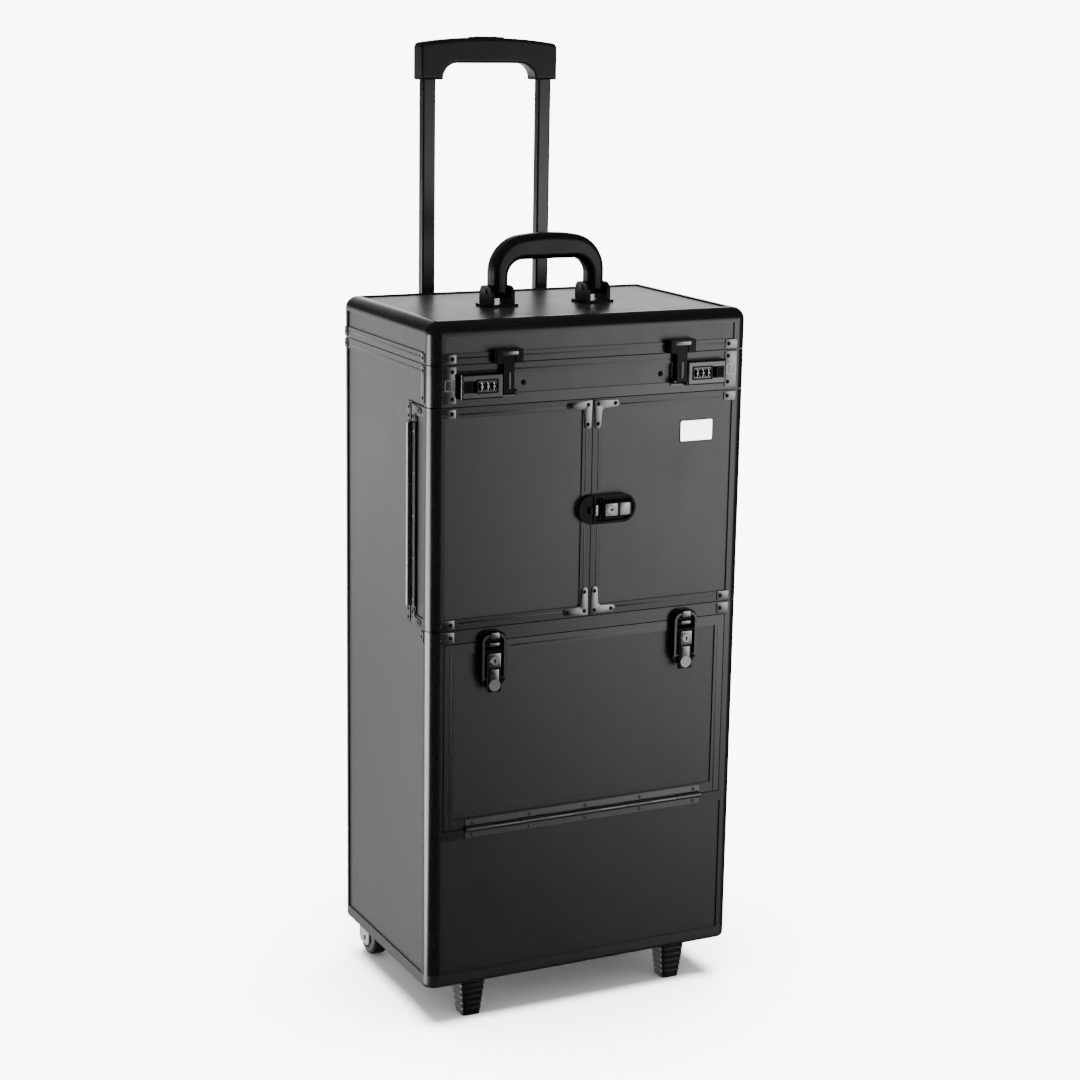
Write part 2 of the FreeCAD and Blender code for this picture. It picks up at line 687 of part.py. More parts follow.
KNUCKLES = 9
HINGE_ACROSS = Rotation()
HINGE_BEHIND = Rotation(Vector(0, 0, 1), 180)
HINGE_UPRIGHT = Rotation(Vector(1, 1, 1), 240)


def hinge_leaf(name, length, side, first):
    """Make a leaf on one side of the pin (+1 up, -1 down) with every second knuckle from the first."""

    def reach(near, far):
        return (near, far) if side > 0 else (neg(far), neg(near))

    seat = ("hinge_out - leaf_thickness", "hinge_out")
    pieces = [box(name + "_plate", span(f"{length}/2"), seat, reach("knuckle_reach", "leaf_width"))]
    for turn in range(first, KNUCKLES, 2):
        run = (f"-{length}/2 + {turn}*{length}/{KNUCKLES} + knuckle_gap/2",
               f"-{length}/2 + {turn + 1}*{length}/{KNUCKLES} - knuckle_gap/2")
        pieces.append(box(f"{name}_tab{turn}", run, seat, reach("0", "knuckle_reach")))
        pieces.append(rod(f"{name}_knuckle{turn}", "knuckle_radius", "x", run))
    bore = rod(name + "_bore", "pin_bore", "x", span(f"{length}/2 + gap"))
    return cut(name + "_leaf", fuse(name + "_blank", pieces), [bore])


def hinges():
    """Make the flap, lid and door hinges with their pins."""
    door_y = "door_back + gap/2"
    door_mid = "(door_low + door_high)/2"
    seats = {
        "flap": ("flap_hinge_length", HINGE_ACROSS, ("0", "front - hinge_out", "flap_pivot")),
        "lid": ("lid_hinge_length", HINGE_BEHIND, ("0", "back + hinge_out", "seam")),
        "door": ("door_hinge_length", HINGE_UPRIGHT, ("-half_width - hinge_out", door_y, door_mid)),
    }
    moving_side = {"flap": 1, "lid": 1, "door": -1}
    fixed = []
    pins = []
    moving = {}
    for kind, (length, rotation, place) in seats.items():
        side = moving_side[kind]
        swing = hinge_leaf(kind + "_moving", length, side, 1)
        rest = hinge_leaf(kind + "_fixed", length, -side, 0)
        pin = rod(kind + "_pin", "pin_radius", "x", span(f"{length}/2"))
        moving[kind] = placed(kind + "_moving_seat", swing, rotation, *place)
        fixed.append(placed(kind + "_fixed_seat", rest, rotation, *place))
        pins.append(placed(kind + "_pin_seat", pin, rotation, *place))
    fixed.append(mirrored("door_fixed_twin", fixed[-1]))
    pins.append(mirrored("door_pin_twin", pins[-1]))
    node("fixed_hinge_leaves", group("fixed_leaf_set", fixed))
    node("hinge_pins", group("hinge_pin_set", pins))
    node("flap_hinge_leaf", moving["flap"])
    node("lid_hinge_leaf", moving["lid"])
    node("left_door_hinge_leaf", moving["door"])
    node("right_door_hinge_leaf", mirrored("door_moving_twin", moving["door"]))


# Oval draw latches, made about the seam they close: the face is at y = 0 and the keeper lies above z = 0


def low_crossing(edge, frame):
    """Pick front-to-back edges in the lowest plane."""
    return crossing(edge, frame) and at_bottom(edge, frame)


def high_crossing(edge, frame):
    """Pick front-to-back edges in the highest plane."""
    return crossing(edge, frame) and at_top(edge, frame)


def latch_base(name):
    """Make a latch's dish with its round end and the lugs for the lever."""
    shell_outline = rectangle(span("latch_width/2"), ("-latch_length", "-gap"))
    shell = prism(name + "_oval", "xz", shell_outline, ("-dish_depth", "0"))
    round_edges(shell, "latch_round", low_crossing)
    bowl_outline = rectangle(span("dish_inner"), ("-latch_length + dish_wall", "-gap - dish_wall"))
    bowl = prism(name + "_bowl", "xz", bowl_outline, ("-dish_depth - gap", "-dish_floor"))
    round_edges(bowl, "latch_round - dish_wall", low_crossing)
    dish = cut(name + "_dish", shell, [bowl])
    reach = ("-lug_outer", "-lug_inner")
    lug = fuse(name + "_lug", [
        box(name + "_lug_block", reach, ("-lever_axis_out", "-dish_floor"),
            ("-lever_axis_drop - lug_radius", "-lever_axis_drop + lug_radius")),
        rod(name + "_lug_eye", "lug_radius", "x", reach, y="-lever_axis_out", z="-lever_axis_drop"),
    ])
    blank = fuse(name + "_blank", [dish, lug, mirrored(name + "_lug_twin", lug)])
    bore = rod(name + "_bore", "trunnion_radius + pin_clearance", "x", span("lug_outer + gap"),
               y="-lever_axis_out", z="-lever_axis_drop")
    return cut(name + "_base", blank, [bore])


def latch_lever(name, with_bail):
    """Make a lever with its pivot pin and key plug; one with a bail gets its hole and a thumb tab."""
    tab_back = "-dish_depth - tab_play"
    tab_tip = "-latch_length - lever_tab"
    thumb_tab = [(tab_back, "-lever_tip"), (tab_back, tab_tip), ("-lever_face", tab_tip)]
    plain_tip = [("-lever_face", "-lever_tip")]
    outline = [
        ("-lever_back", "-lever_axis_drop"),
        ("-lever_back", "-lever_tip"),
        *(thumb_tab if with_bail else plain_tip),
        ("-lever_face", "-lever_axis_drop - lever_barrel"),
        ("-lever_axis_out - lever_barrel", "-lever_axis_drop"),
    ]

    def front_sides(edge, frame):
        return upright(edge, frame) and edge.YMax - frame.YMin < FLAT

    bar = prism(name + "_bar", "yz", outline, span("lever_width/2"))
    round_edges(bar, "lever_edge", front_sides)
    pivot = {"y": "-lever_axis_out", "z": "-lever_axis_drop"}
    blank = fuse(name + "_blank", [
        bar,
        rod(name + "_barrel", "lever_barrel", "x", span("lever_width/2"), **pivot),
        rod(name + "_trunnion", "trunnion_radius", "x", span("lug_outer"), **pivot),
        rod(name + "_key", "key_radius", "y", ("-latch_height", "-lever_back"), z="-key_drop"),
    ])
    if not with_bail:
        return blank
    hole = rod(name + "_hole", "bail_bar + pin_clearance", "x", span("lever_width/2 + gap"),
               y="-bail_centre", z="-bail_drop")
    return cut(name + "_lever", blank, [hole])


def latch_bail(name):
    """Make the wire loop that runs from the lever over the keeper's hook."""
    thick = ("-bail_back - bail_wire", "-bail_back")
    foot = "-bail_drop - bail_wire/2"
    loop = prism(name + "_loop", "xz", rectangle(span("bail_half"), (foot, "bail_reach")), thick)
    round_edges(loop, "bail_corner", high_crossing)
    inside = rectangle(span("bail_half - bail_wire"), (f"{foot} - gap", "bail_reach - bail_wire"))
    hollow = prism(name + "_hollow", "xz", inside, ("-bail_back - bail_wire - gap", "-bail_back + gap"))
    round_edges(hollow, "bail_corner - bail_wire", high_crossing)
    bar = rod(name + "_bar", "bail_bar", "x", span("bail_half - bail_wire/2"),
              y="-bail_centre", z="-bail_drop")
    return fuse(name + "_bail", [cut(name + "_wire", loop, [hollow]), bar])


def latch_keeper(name, length, rounding):
    """Make the keeper plate that completes the oval, with the hook for the bail."""
    outline = rectangle(span("latch_width/2"), ("0", length))
    plate = prism(name + "_plate", "xz", outline, ("-keeper_depth", "0"))
    round_edges(plate, rounding, high_crossing)
    hook_top = "bail_reach - bail_wire - nib_play"
    hook = box(name + "_hook", span("nib_width/2"), ("-keeper_depth - nib_height", "0"),
               (f"{hook_top} - nib_length", hook_top))
    return fuse(name + "_keeper", [plate, hook])


def latches():
    """Set two latches upright on the flap and one lying down on the doors."""
    upright_seat = (Rotation(), "-latch_spread", "front", "flap_high")
    across = Rotation(Vector(0, 1, 0), -90)
    door_seat = (across, "gap/2 - gap", "front", "leg_height + door_latch_height")
    keeper = latch_keeper("flap_catch", "flap_keeper", "keeper_round")
    door_keeper = latch_keeper("door_catch", "door_keeper", "latch_round")
    both_sides("flap_latch_bases", placed("flap_base_seat", latch_base("flap_oval"), *upright_seat))
    both_sides("flap_keepers", placed("flap_keeper_seat", keeper, *upright_seat))
    lever = placed("flap_lever_seat", latch_lever("flap_grip", True), *upright_seat)
    bail = placed("flap_bail_seat", latch_bail("flap_loop"), *upright_seat)
    node("left_flap_latch_lever", lever)
    node("right_flap_latch_lever", mirrored("flap_lever_twin", lever))
    node("left_flap_latch_bail", bail)
    node("right_flap_latch_bail", mirrored("flap_bail_twin", bail))
    node("door_latch_base", placed("door_base_seat", latch_base("door_oval"), *door_seat))
    node("door_latch_lever", placed("door_lever_seat", latch_lever("door_grip", False), *door_seat))
    node("door_keeper", placed("door_keeper_seat", door_keeper, *door_seat))


# Combination locks, the left one modelled and the right one its twin


def locks():
    """Make the lock bodies, their dials, slide buttons and straps, and the catches on the lid."""
    face = "front - lock_thickness"
    lock_z = ("lock_floor", "lock_floor + lock_height")
    body = rounded_block("lock_block", ("-lock_outer", "-lock_inner"), (face, "front"), lock_z, "lock_edge",
                         lambda edge, frame: edge.YMax - frame.YMin < FLAT)
    inner_end = "-lock_inner + strap_bay"
    plate = box("strap_plate_box", ("-lock_inner", inner_end), ("front - strap_plate", "front"), lock_z)
    strap_line = {"y": "front - strap_axis_out", "z": "strap_z"}
    lug_x = (f"{inner_end} - strap_lug", inner_end)
    lug = box("strap_lug_box", lug_x, ("front - strap_axis_out", "front"),
              ("strap_z - strap_barrel", "strap_z + strap_barrel"))
    eye = rod("strap_eye", "strap_barrel", "x", lug_x, **strap_line)
    pin = rod("strap_pin", "pin_radius", "x", ("-lock_inner - lock_edge", inner_end), **strap_line)

    dial_line = {"y": "front - dial_axis_out", "z": "lock_mid"}
    middles = [f"-lock_inner - dial_inset + {place}*dial_pitch" for place in (1, 0, -1)]
    pockets = []
    dials = []
    for index, middle in enumerate(middles):
        room = (f"{middle} - dial_width/2 - dial_play", f"{middle} + dial_width/2 + dial_play")
        pockets.append(rod(f"dial_pocket{index}", "dial_radius + dial_play", "x", room, **dial_line))
        wheel = rod(f"dial_wheel{index}", "dial_radius", "x",
                    (f"{middle} - dial_width/2", f"{middle} + dial_width/2"), **dial_line)
        hole = rod(f"dial_hole{index}", "dial_shaft + pin_clearance", "x",
                   (f"{middle} - dial_width", f"{middle} + dial_width"), **dial_line)
        dials.append(cut(f"dial{index}", wheel, [hole]))
    seat = "dial_width/2 + dial_play + lock_edge/2"
    shaft = rod("dial_shaft_rod", "dial_shaft", "x",
                (f"{middles[2]} - ({seat})", f"{middles[0]} + {seat}"), **dial_line)
    slider_z = span("slider_height/2")
    slot_z = tuple(f"lock_mid + {half}" for half in span("slider_height/2 + slider_play"))
    slot_end = "-slider_x + slider_length + slider_travel + slider_play"
    slot = box("slider_slot", ("-lock_outer + slider_inset", slot_end),
               (f"{face} - gap", f"{face} + slider_depth + slider_play"), slot_z)
    hollow = cut("lock_hollow", fuse("lock_blank", [body, plate, lug, eye]), pockets + [slot])
    both_sides("lock_bodies", fuse("lock_solid", [hollow, pin, shaft]))

    slider = box("slider_block", ("-slider_x", "-slider_x + slider_length"),
                 (f"{face} - slider_proud", f"{face} + slider_depth"),
                 tuple(f"lock_mid + {half}" for half in slider_z))
    node("left_lock_slider", slider)
    node("right_lock_slider", mirrored("slider_twin", slider))
    for index, dial in enumerate(dials, start=1):
        node(f"left_dial_{index}", dial)
        node(f"right_dial_{index}", mirrored(f"dial_twin{index}", dial))

    strap_x = ("-strap_x - strap_width/2", "-strap_x + strap_width/2")
    tip = "seam + strap_overlap"
    outer_face = "front - strap_axis_out - strap_barrel"
    blank = fuse("strap_blank", [
        rod("strap_barrel_rod", "strap_barrel", "x", strap_x, **strap_line),
        box("strap_blade", strap_x, (outer_face, f"{outer_face} + strap_thickness"), ("strap_z", tip)),
    ])
    strap = cut("strap", blank, [rod("strap_bore", "pin_bore", "x", WIDE, **strap_line)])
    node("left_lock_strap", strap)
    node("right_lock_strap", mirrored("strap_twin", strap))

    catch_z = ("lid_rim_z", "lid_rim_z + catch_height")
    block = rounded_block("catch_block", ("-strap_x - catch_width/2", "-strap_x + catch_width/2"),
                          ("front - catch_depth", "front"), catch_z, "lock_edge",
                          lambda edge, frame: upright(edge, frame) and edge.YMax - frame.YMin < FLAT)
    recess_z = ("lid_rim_z - gap", f"{tip} + strap_play")
    recess = box("catch_recess", (f"{strap_x[0]} - strap_play", f"{strap_x[1]} + strap_play"),
                 ("front - catch_depth - gap", "front - catch_floor"), recess_z)
    both_sides("lid_catches", cut("catch", block, [recess]))


def carry_handle():
    """Make the moulded carry handle, its ears and their pins."""
    foot = "handle_axis - handle_foot"
    middle = "handle_top - handle_crown"
    shoulder = f"{middle} + sqrt(handle_crown^2 - handle_half^2)"
    underside = "handle_top - handle_grip"
    outline = [
        (neg("handle_half"), foot),
        (neg("handle_inner"), foot),
        (neg("handle_inner"), underside),
        ("handle_inner", underside),
        ("handle_inner", foot),
        ("handle_half", foot),
        ("handle_half", shoulder),
        (neg("handle_half"), shoulder),
    ]
    deep = ("handle_y - handle_depth/2", "handle_y + handle_depth/2")
    arch = prism("handle_arch", "xz", outline, deep, {6: ("handle_crown", 1)})
    half = number("handle_half")
    inner = number("handle_inner")

    def outer_corner(edge, frame):
        return crossing(edge, frame) and abs(abs(edge.XMin) - half) < FLAT and not at_bottom(edge, frame)

    def inner_corner(edge, frame):
        return crossing(edge, frame) and abs(abs(edge.XMin) - inner) < FLAT and not at_bottom(edge, frame)

    round_edges(arch, "handle_inside", inner_corner)
    round_edges(arch, "handle_shoulder", outer_corner)
    round_edges(arch, "handle_edge", at_front_or_back)
    pin_line = {"y": "handle_y", "z": "handle_axis"}
    bore = rod("handle_bore", "handle_pin + pin_clearance", "x", WIDE, **pin_line)
    node("carry_handle", cut("handle_moulding", arch, [bore]))

    inner_cheek = ("-handle_inner + ear_play", "-handle_inner + ear_play + ear_cheek")
    outer_cheek = ("-handle_half - ear_play - ear_cheek", "-handle_half - ear_play")
    ear_y = ("handle_y - ear_depth/2", "handle_y + ear_depth/2")
    base_x = (f"{outer_cheek[0]} - ear_lip", f"{inner_cheek[1]} + ear_lip")
    base_z = ("top - skin", "top + ear_base")
    base = rounded_block("ear_base_plate", base_x, ear_y, base_z, "ear_lip", upright)
    cheeks = []

    def top_ends(edge, frame):
        return edge.YLength < FLAT and at_top(edge, frame)

    cheek_outline = rectangle(ear_y, ("top - skin", "handle_axis + ear_top"))
    for side, run in (("inner", inner_cheek), ("outer", outer_cheek)):
        cheek = prism(f"ear_{side}_cheek", "yz", cheek_outline, run)
        cheeks.append(round_edges(cheek, "ear_round", top_ends))
    reach = (f"{outer_cheek[0]} - handle_pin_head", f"{inner_cheek[1]} + handle_pin_head")
    ear_bore = rod("ear_bore", "handle_pin", "x", reach, **pin_line)
    ear = cut("ear", fuse("ear_blank", [base] + cheeks), [ear_bore])
    both_sides("handle_ears", ear)
    both_sides("handle_pins", rod("ear_pin", "handle_pin", "x", reach, **pin_line))


# Trolley handle behind the case


def tube(name, wide, deep, radius, z):
    """Make a rounded rectangular tube behind the left side of the case from its outer half sizes."""

    def block(suffix, inset, reach):
        x = (f"-tube_x - ({wide}) + {inset}", f"-tube_x + ({wide}) - {inset}")
        y = (f"tube_y - ({deep}) + {inset}", f"tube_y + ({deep}) - {inset}")
        return rounded_block(name + suffix, x, y, reach, f"{radius} - {inset}", upright)

    bore = block("_bore", "tube_wall", (f"{z[0]} - gap", f"{z[1]} + gap"))
    return cut(name, block("_outer", "0", z), [bore])


def trolley():
    """Make the fixed tubes and brackets, the sliding tubes, the grip and its release button."""
    sleeve_round = "tube_round + tube_clearance + tube_wall"
    sleeve_z = ("sleeve_floor", "sleeve_top")
    both_sides("outer_tubes", tube("sleeve", "sleeve_wide", "sleeve_deep", sleeve_round, sleeve_z))
    slide_z = ("sleeve_top - tube_overlap", "grip_foot + grip_socket")
    both_sides("inner_tubes", tube("slide", "tube_width/2", "tube_depth/2", "tube_round", slide_z))

    def rear_corner(edge, frame):
        return upright(edge, frame) and frame.YMax - edge.YMin < FLAT

    def front_corner(edge, frame):
        return upright(edge, frame) and edge.YMax - frame.YMin < FLAT

    brackets = []
    sleeve_x = ("-tube_x - sleeve_wide", "-tube_x + sleeve_wide")
    sleeve_y = ("tube_y - sleeve_deep", "tube_y + sleeve_deep")
    for name, low in (("lower_bracket", "sleeve_floor"), ("upper_bracket", "sleeve_top - bracket_height")):
        reach = (low, f"{low} + bracket_height")
        block = rounded_block(name, span("tube_x + sleeve_wide + bracket_wall"),
                              ("back - skin", "tube_y + sleeve_deep + bracket_wall"), reach, "bracket_round",
                              rear_corner)
        through = (f"{low} - gap", f"{low} + bracket_height + gap")
        seat = rounded_block(name + "_seat", sleeve_x, sleeve_y, through, sleeve_round, upright)
        relief = rounded_block(name + "_relief", span("tube_x - sleeve_wide - bracket_wall"),
                               ("back + bracket_wall", "tube_y + sleeve_deep + bracket_wall + gap"), through,
                               "bracket_round", front_corner)
        brackets.append(cut(name + "_solid", block, [seat, mirrored(name + "_seat_twin", seat), relief]))
    node("tube_brackets", group("tube_bracket_pair", brackets))
    grip()


def grip():
    """Make the crowned grip with its finger opening, tube sockets and release button."""
    half = "grip_width/2"
    ends = f"grip_crest - grip_crown + sqrt(grip_crown^2 - ({half})^2)"
    outline = [
        (neg(half), "grip_foot"),
        (neg("grip_inner"), "grip_foot"),
        (neg("grip_inner"), "grip_crest - grip_bar"),
        ("grip_inner", "grip_crest - grip_bar"),
        ("grip_inner", "grip_foot"),
        (half, "grip_foot"),
        (half, ends),
        (neg(half), ends),
    ]
    deep = ("tube_y - grip_depth/2", "tube_y + grip_depth/2")
    moulding = prism("grip_arch", "xz", outline, deep, {6: ("grip_crown", 1)})
    outside = number(half)
    inside = number("grip_inner")

    def inner_corner(edge, frame):
        return crossing(edge, frame) and abs(abs(edge.XMin) - inside) < FLAT and not at_bottom(edge, frame)

    def outer_corner(edge, frame):
        return crossing(edge, frame) and abs(abs(edge.XMin) - outside) < FLAT and not at_bottom(edge, frame)

    round_edges(moulding, "grip_inside", inner_corner)
    round_edges(moulding, "grip_shoulder", outer_corner)
    round_edges(moulding, "grip_edge", at_front_or_back)
    socket = rounded_block("grip_socket_block", ("-tube_x - tube_width/2", "-tube_x + tube_width/2"),
                           ("tube_y - tube_depth/2", "tube_y + tube_depth/2"),
                           ("grip_foot - gap", "grip_foot + grip_socket"), "tube_round", upright)
    pocket = box("button_pocket", span("button_length/2 + button_play"),
                 ("tube_y - button_width/2 - button_play", "tube_y + button_width/2 + button_play"),
                 ("button_floor - button_travel - button_play", "grip_crest + gap"))
    hollows = [socket, mirrored("grip_socket_twin", socket), pocket]
    node("trolley_grip", cut("grip_moulding", moulding, hollows))
    button = rounded_block("button_block", span("button_length/2"),
                           ("tube_y - button_width/2", "tube_y + button_width/2"),
                           ("button_floor", "grip_crest + button_proud"), "lever_edge", at_top)
    node("release_button", button)


# Feet and wheels under the case


def front_foot():
    """Make a tapered foot with the plug that meets the bottom panel."""
    body = doc.addObject("PartDesign::Body", "foot_body")
    floor = sketch_on(body, "xy", "0")
    draw_rounded_square(floor, "-foot_spread", "foot_y", "foot_bottom/2", "foot_round")
    head = sketch_on(body, "xy", "base")
    draw_rounded_square(head, "-foot_spread", "foot_y", "foot_top/2", "foot_round")
    loft = body.newObject("PartDesign::AdditiveLoft", "foot_loft")
    loft.Profile = floor
    loft.Sections = [head]
    loft.Ruled = True
    doc.recompute()
    plug_x = "(foot_top/2 - foot_plug)"
    plug = box("foot_plug_box", (f"-foot_spread - {plug_x}", f"-foot_spread + {plug_x}"),
               ("front + flange", f"foot_y + {plug_x}"), ("base", "base + skin"))
    return fuse("foot", [body, plug])


def wheels():
    """Make the wheels in their forks, which have a pad that meets the bottom panel, on their shafts."""
    outline = [
        ("-wheel_spread - fork_outer", "base"),
        ("-wheel_spread - fork_outer", "wheel_radius - fork_drop"),
        ("-wheel_spread - fork_inner", "wheel_radius - fork_drop"),
        ("-wheel_spread - fork_inner", "base - fork_plate"),
        ("-wheel_spread + fork_inner", "base - fork_plate"),
        ("-wheel_spread + fork_inner", "wheel_radius - fork_drop"),
        ("-wheel_spread + fork_outer", "wheel_radius - fork_drop"),
        ("-wheel_spread + fork_outer", "base"),
    ]
    fork = prism("fork", "xz", outline, ("wheel_y - fork_length/2", "wheel_y + fork_length/2"))
    round_edges(fork, "fork_round", lambda edge, frame: at_bottom(edge, frame) and edge.YLength < FLAT)
    shaft_line = {"y": "wheel_y", "z": "wheel_radius"}
    shaft_x = ("-wheel_spread - fork_outer - axle_head", "-wheel_spread + fork_outer + axle_head")
    fork_bore = rod("fork_bore", "axle_radius", "x", shaft_x, **shaft_line)
    pad = box("fork_pad", ("-wheel_spread - fork_inner", "-wheel_spread + fork_inner"),
              ("wheel_y - fork_length/2", "back - flange"), ("base", "base + skin"))
    both_sides("wheel_forks", cut("fork_bored", fuse("fork_seated", [fork, pad]), [fork_bore]))
    both_sides("wheel_axles", rod("axle", "axle_radius", "x", shaft_x, **shaft_line))

    tread = disc("tread", "wheel_radius", ("-wheel_spread - wheel_width/2", "-wheel_spread + wheel_width/2"),
                 "wheel_y", "wheel_radius")
    round_edges(tread, "wheel_shoulder", lambda edge, frame: edge.XLength < FLAT)
    near = "-wheel_spread - wheel_width/2"
    far = "-wheel_spread + wheel_width/2"
    hollows = [
        rod("hub_outside", "hub_radius", "x", (f"{near} - gap", f"{near} + hub_recess"), **shaft_line),
        rod("hub_inside", "hub_radius", "x", (f"{far} - hub_recess", f"{far} + gap"), **shaft_line),
        rod("hub_bore", "axle_radius + pin_clearance", "x", shaft_x, **shaft_line),
    ]
    wheel = cut("wheel", tread, hollows)
    node("left_wheel", wheel)
    node("right_wheel", mirrored("wheel_twin", wheel))


case_body()
lid()
doors()
flap()
hinges()
latches()
locks()
carry_handle()
trolley()
both_sides("front_feet", front_foot())
wheels()
doc.recompute()

for piece in doc.Objects:
    if "Invalid" in piece.State or "Error" in piece.State:
        raise RuntimeError(f"{piece.Label} did not compute: {piece.State}")
for piece in nodes:
    if piece.Shape.isNull() or not piece.Shape.isValid() or not piece.Shape.Solids:
        raise RuntimeError(f"{piece.Label} has no valid solid")

os.makedirs("parts", exist_ok=True)
for piece in nodes:
    piece.Shape.exportStep(f"parts/{piece.Label}.step")
    print(piece.Label, len(piece.Shape.Solids), round(piece.Shape.Volume / 1000, 2))
print(len(nodes), "pieces written")
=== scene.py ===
"""Looks of the trolley case: its finishes, riveted trim, latch and lock details, and the studio."""

import json
import logging
import math
from collections.abc import Iterable, Sequence
from dataclasses import dataclass, field
from enum import Enum
from typing import ClassVar

import bmesh
import bpy
from mathutils import Matrix, Vector


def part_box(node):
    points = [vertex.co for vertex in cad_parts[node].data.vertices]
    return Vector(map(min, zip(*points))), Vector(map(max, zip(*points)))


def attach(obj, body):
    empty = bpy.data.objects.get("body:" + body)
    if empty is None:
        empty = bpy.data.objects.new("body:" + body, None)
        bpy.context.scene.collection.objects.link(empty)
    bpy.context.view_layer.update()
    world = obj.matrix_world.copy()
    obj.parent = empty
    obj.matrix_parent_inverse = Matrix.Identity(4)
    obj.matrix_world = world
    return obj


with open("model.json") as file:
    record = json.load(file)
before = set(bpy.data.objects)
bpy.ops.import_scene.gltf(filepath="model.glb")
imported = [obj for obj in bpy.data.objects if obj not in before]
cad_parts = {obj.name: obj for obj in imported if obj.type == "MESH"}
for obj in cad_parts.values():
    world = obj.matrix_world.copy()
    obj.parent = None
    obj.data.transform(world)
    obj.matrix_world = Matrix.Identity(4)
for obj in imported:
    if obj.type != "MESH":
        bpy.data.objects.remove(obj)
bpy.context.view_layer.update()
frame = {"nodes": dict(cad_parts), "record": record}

log = logging.getLogger("trolley_case")
MM = 0.001
SHARP_ANGLE = 32
Point = tuple[float, float]
Colour = tuple[float, float, float]


class Side(Enum):
    """Left or right half of the case, as the sign of its x."""

    LEFT = -1
    RIGHT = 1

    @property
    def word(self) -> str:
        """Name used in the part's nodes and bodies."""
        return self.name.lower()


class Face(Enum):
    """A face of the case, as the directions of a shape's own x, y and z on it."""

    FRONT = ((1, 0, 0), (0, 0, 1), (0, -1, 0))
    BACK = ((-1, 0, 0), (0, 0, 1), (0, 1, 0))
    LEFT = ((0, -1, 0), (0, 0, 1), (-1, 0, 0))
    RIGHT = ((0, 1, 0), (0, 0, 1), (1, 0, 0))
    TOP = ((1, 0, 0), (0, 1, 0), (0, 0, 1))

    def at(self, x: float, y: float, z: float) -> Matrix:
        """Place a shape on this face, at a point in millimetres."""
        turn = Matrix(self.value).transposed().to_4x4()
        return Matrix.Translation((x, y, z)) @ turn

    @staticmethod
    def of(side: Side) -> "Face":
        """The upright face of one side."""
        return Face.LEFT if side is Side.LEFT else Face.RIGHT


# Shader building


class Wire:
    """A value in a material's node tree that takes part in Python arithmetic."""

    def __init__(self, board: "Board", socket: bpy.types.NodeSocket) -> None:
        """Keep the socket and the tree it belongs to."""
        self.board = board
        self.socket = socket

    def maths(self, operation: str, *values: "Wire | float") -> "Wire":
        """Add a Math node.

        Args:
            operation: the Math node's operation.
            values: its inputs, in order.

        Returns:
            The node's result.
        """
        inputs = dict(enumerate(values))
        return self.board.node("ShaderNodeMath", {"operation": operation}, inputs)

    def __add__(self, other: "Wire | float") -> "Wire":
        """Sum."""
        return self.maths("ADD", self, other)

    __radd__ = __add__

    def __mul__(self, other: "Wire | float") -> "Wire":
        """Product."""
        return self.maths("MULTIPLY", self, other)

    __rmul__ = __mul__

    def __sub__(self, other: "Wire | float") -> "Wire":
        """Difference."""
        return self.maths("SUBTRACT", self, other)

    def __rsub__(self, other: float) -> "Wire":
        """Difference from a number."""
        return self.maths("SUBTRACT", other, self)

    def clamp(self, low: float, high: float) -> "Wire":
        """Keep the value between two numbers."""
        return self.maths("MINIMUM", self.maths("MAXIMUM", self, low), high)


class Board:
    """One material's node tree, with its Principled shader."""

    def __init__(self, name: str) -> None:
        """Start a material with the default shader and object coordinates.

        Args:
            name: name of the material.
        """
        self.material = bpy.data.materials.new(name)
        self.material.use_nodes = True
        self.tree = self.material.node_tree
        self.shader = self.tree.nodes["Principled BSDF"]
        self.place = self.node("ShaderNodeTexCoord", {}, {}, "Object")

    def node(self, kind: str, settings: dict, inputs: dict, output: str | int = 0) -> Wire:
        """Add a node.

        Args:
            kind: the node's type.
            settings: its own settings, set first.
            inputs: values or wires for its sockets, by name or number.
            output: the output to return.

        Returns:
            The chosen output.
        """
        made = self.tree.nodes.new(kind)
        for key, value in settings.items():
            setattr(made, key, value)
        for key, value in inputs.items():
            self.feed(made.inputs[key], value)
        return Wire(self, made.outputs[output])

    def feed(self, socket: bpy.types.NodeSocket, value: "Wire | float | Sequence[float]") -> None:
        """Link a wire to a socket or set its value.

        Args:
            socket: the socket to feed.
            value: a wire, a number, a colour or a vector.
        """
        if isinstance(value, Wire):
            self.tree.links.new(value.socket, socket)
        else:
            socket.default_value = value

    def shade(self, **inputs: "Wire | float | Sequence[float]") -> None:
        """Set the shader's sockets by their names, with _ for a space."""
        for key, value in inputs.items():
            self.feed(self.shader.inputs[key.replace("_", " ")], value)

    def noise(self, scale: float, detail: float = 2, stretch: Sequence[float] = (1, 1, 1)) -> Wire:
        """Noise on the object's own coordinates.

        Args:
            scale: repeats per metre.
            detail: octaves.
            stretch: scale along the axes, for drawn-out patterns.

        Returns:
            Noise between 0 and 1.
        """
        vector = self.place
        if tuple(stretch) != (1, 1, 1):
            vector = self.node("ShaderNodeMapping", {}, {"Vector": self.place, "Scale": stretch})
        sockets = {"Vector": vector, "Scale": scale, "Detail": detail}
        return self.node("ShaderNodeTexNoise", {}, sockets)

    def tint(self, factor: Wire, dark: Colour, light: Colour) -> Wire:
        """Mix two colours by a factor."""
        inputs = {0: factor, 6: (*dark, 1), 7: (*light, 1)}
        return self.node("ShaderNodeMix", {"data_type": "RGBA"}, inputs, 2)

    def bump(self, height: Wire, distance: float, strength: float = 1) -> Wire:
        """Bump from a height, with its depth in metres."""
        sockets = {"Height": height, "Distance": distance, "Strength": strength}
        return self.node("ShaderNodeBump", {}, sockets)


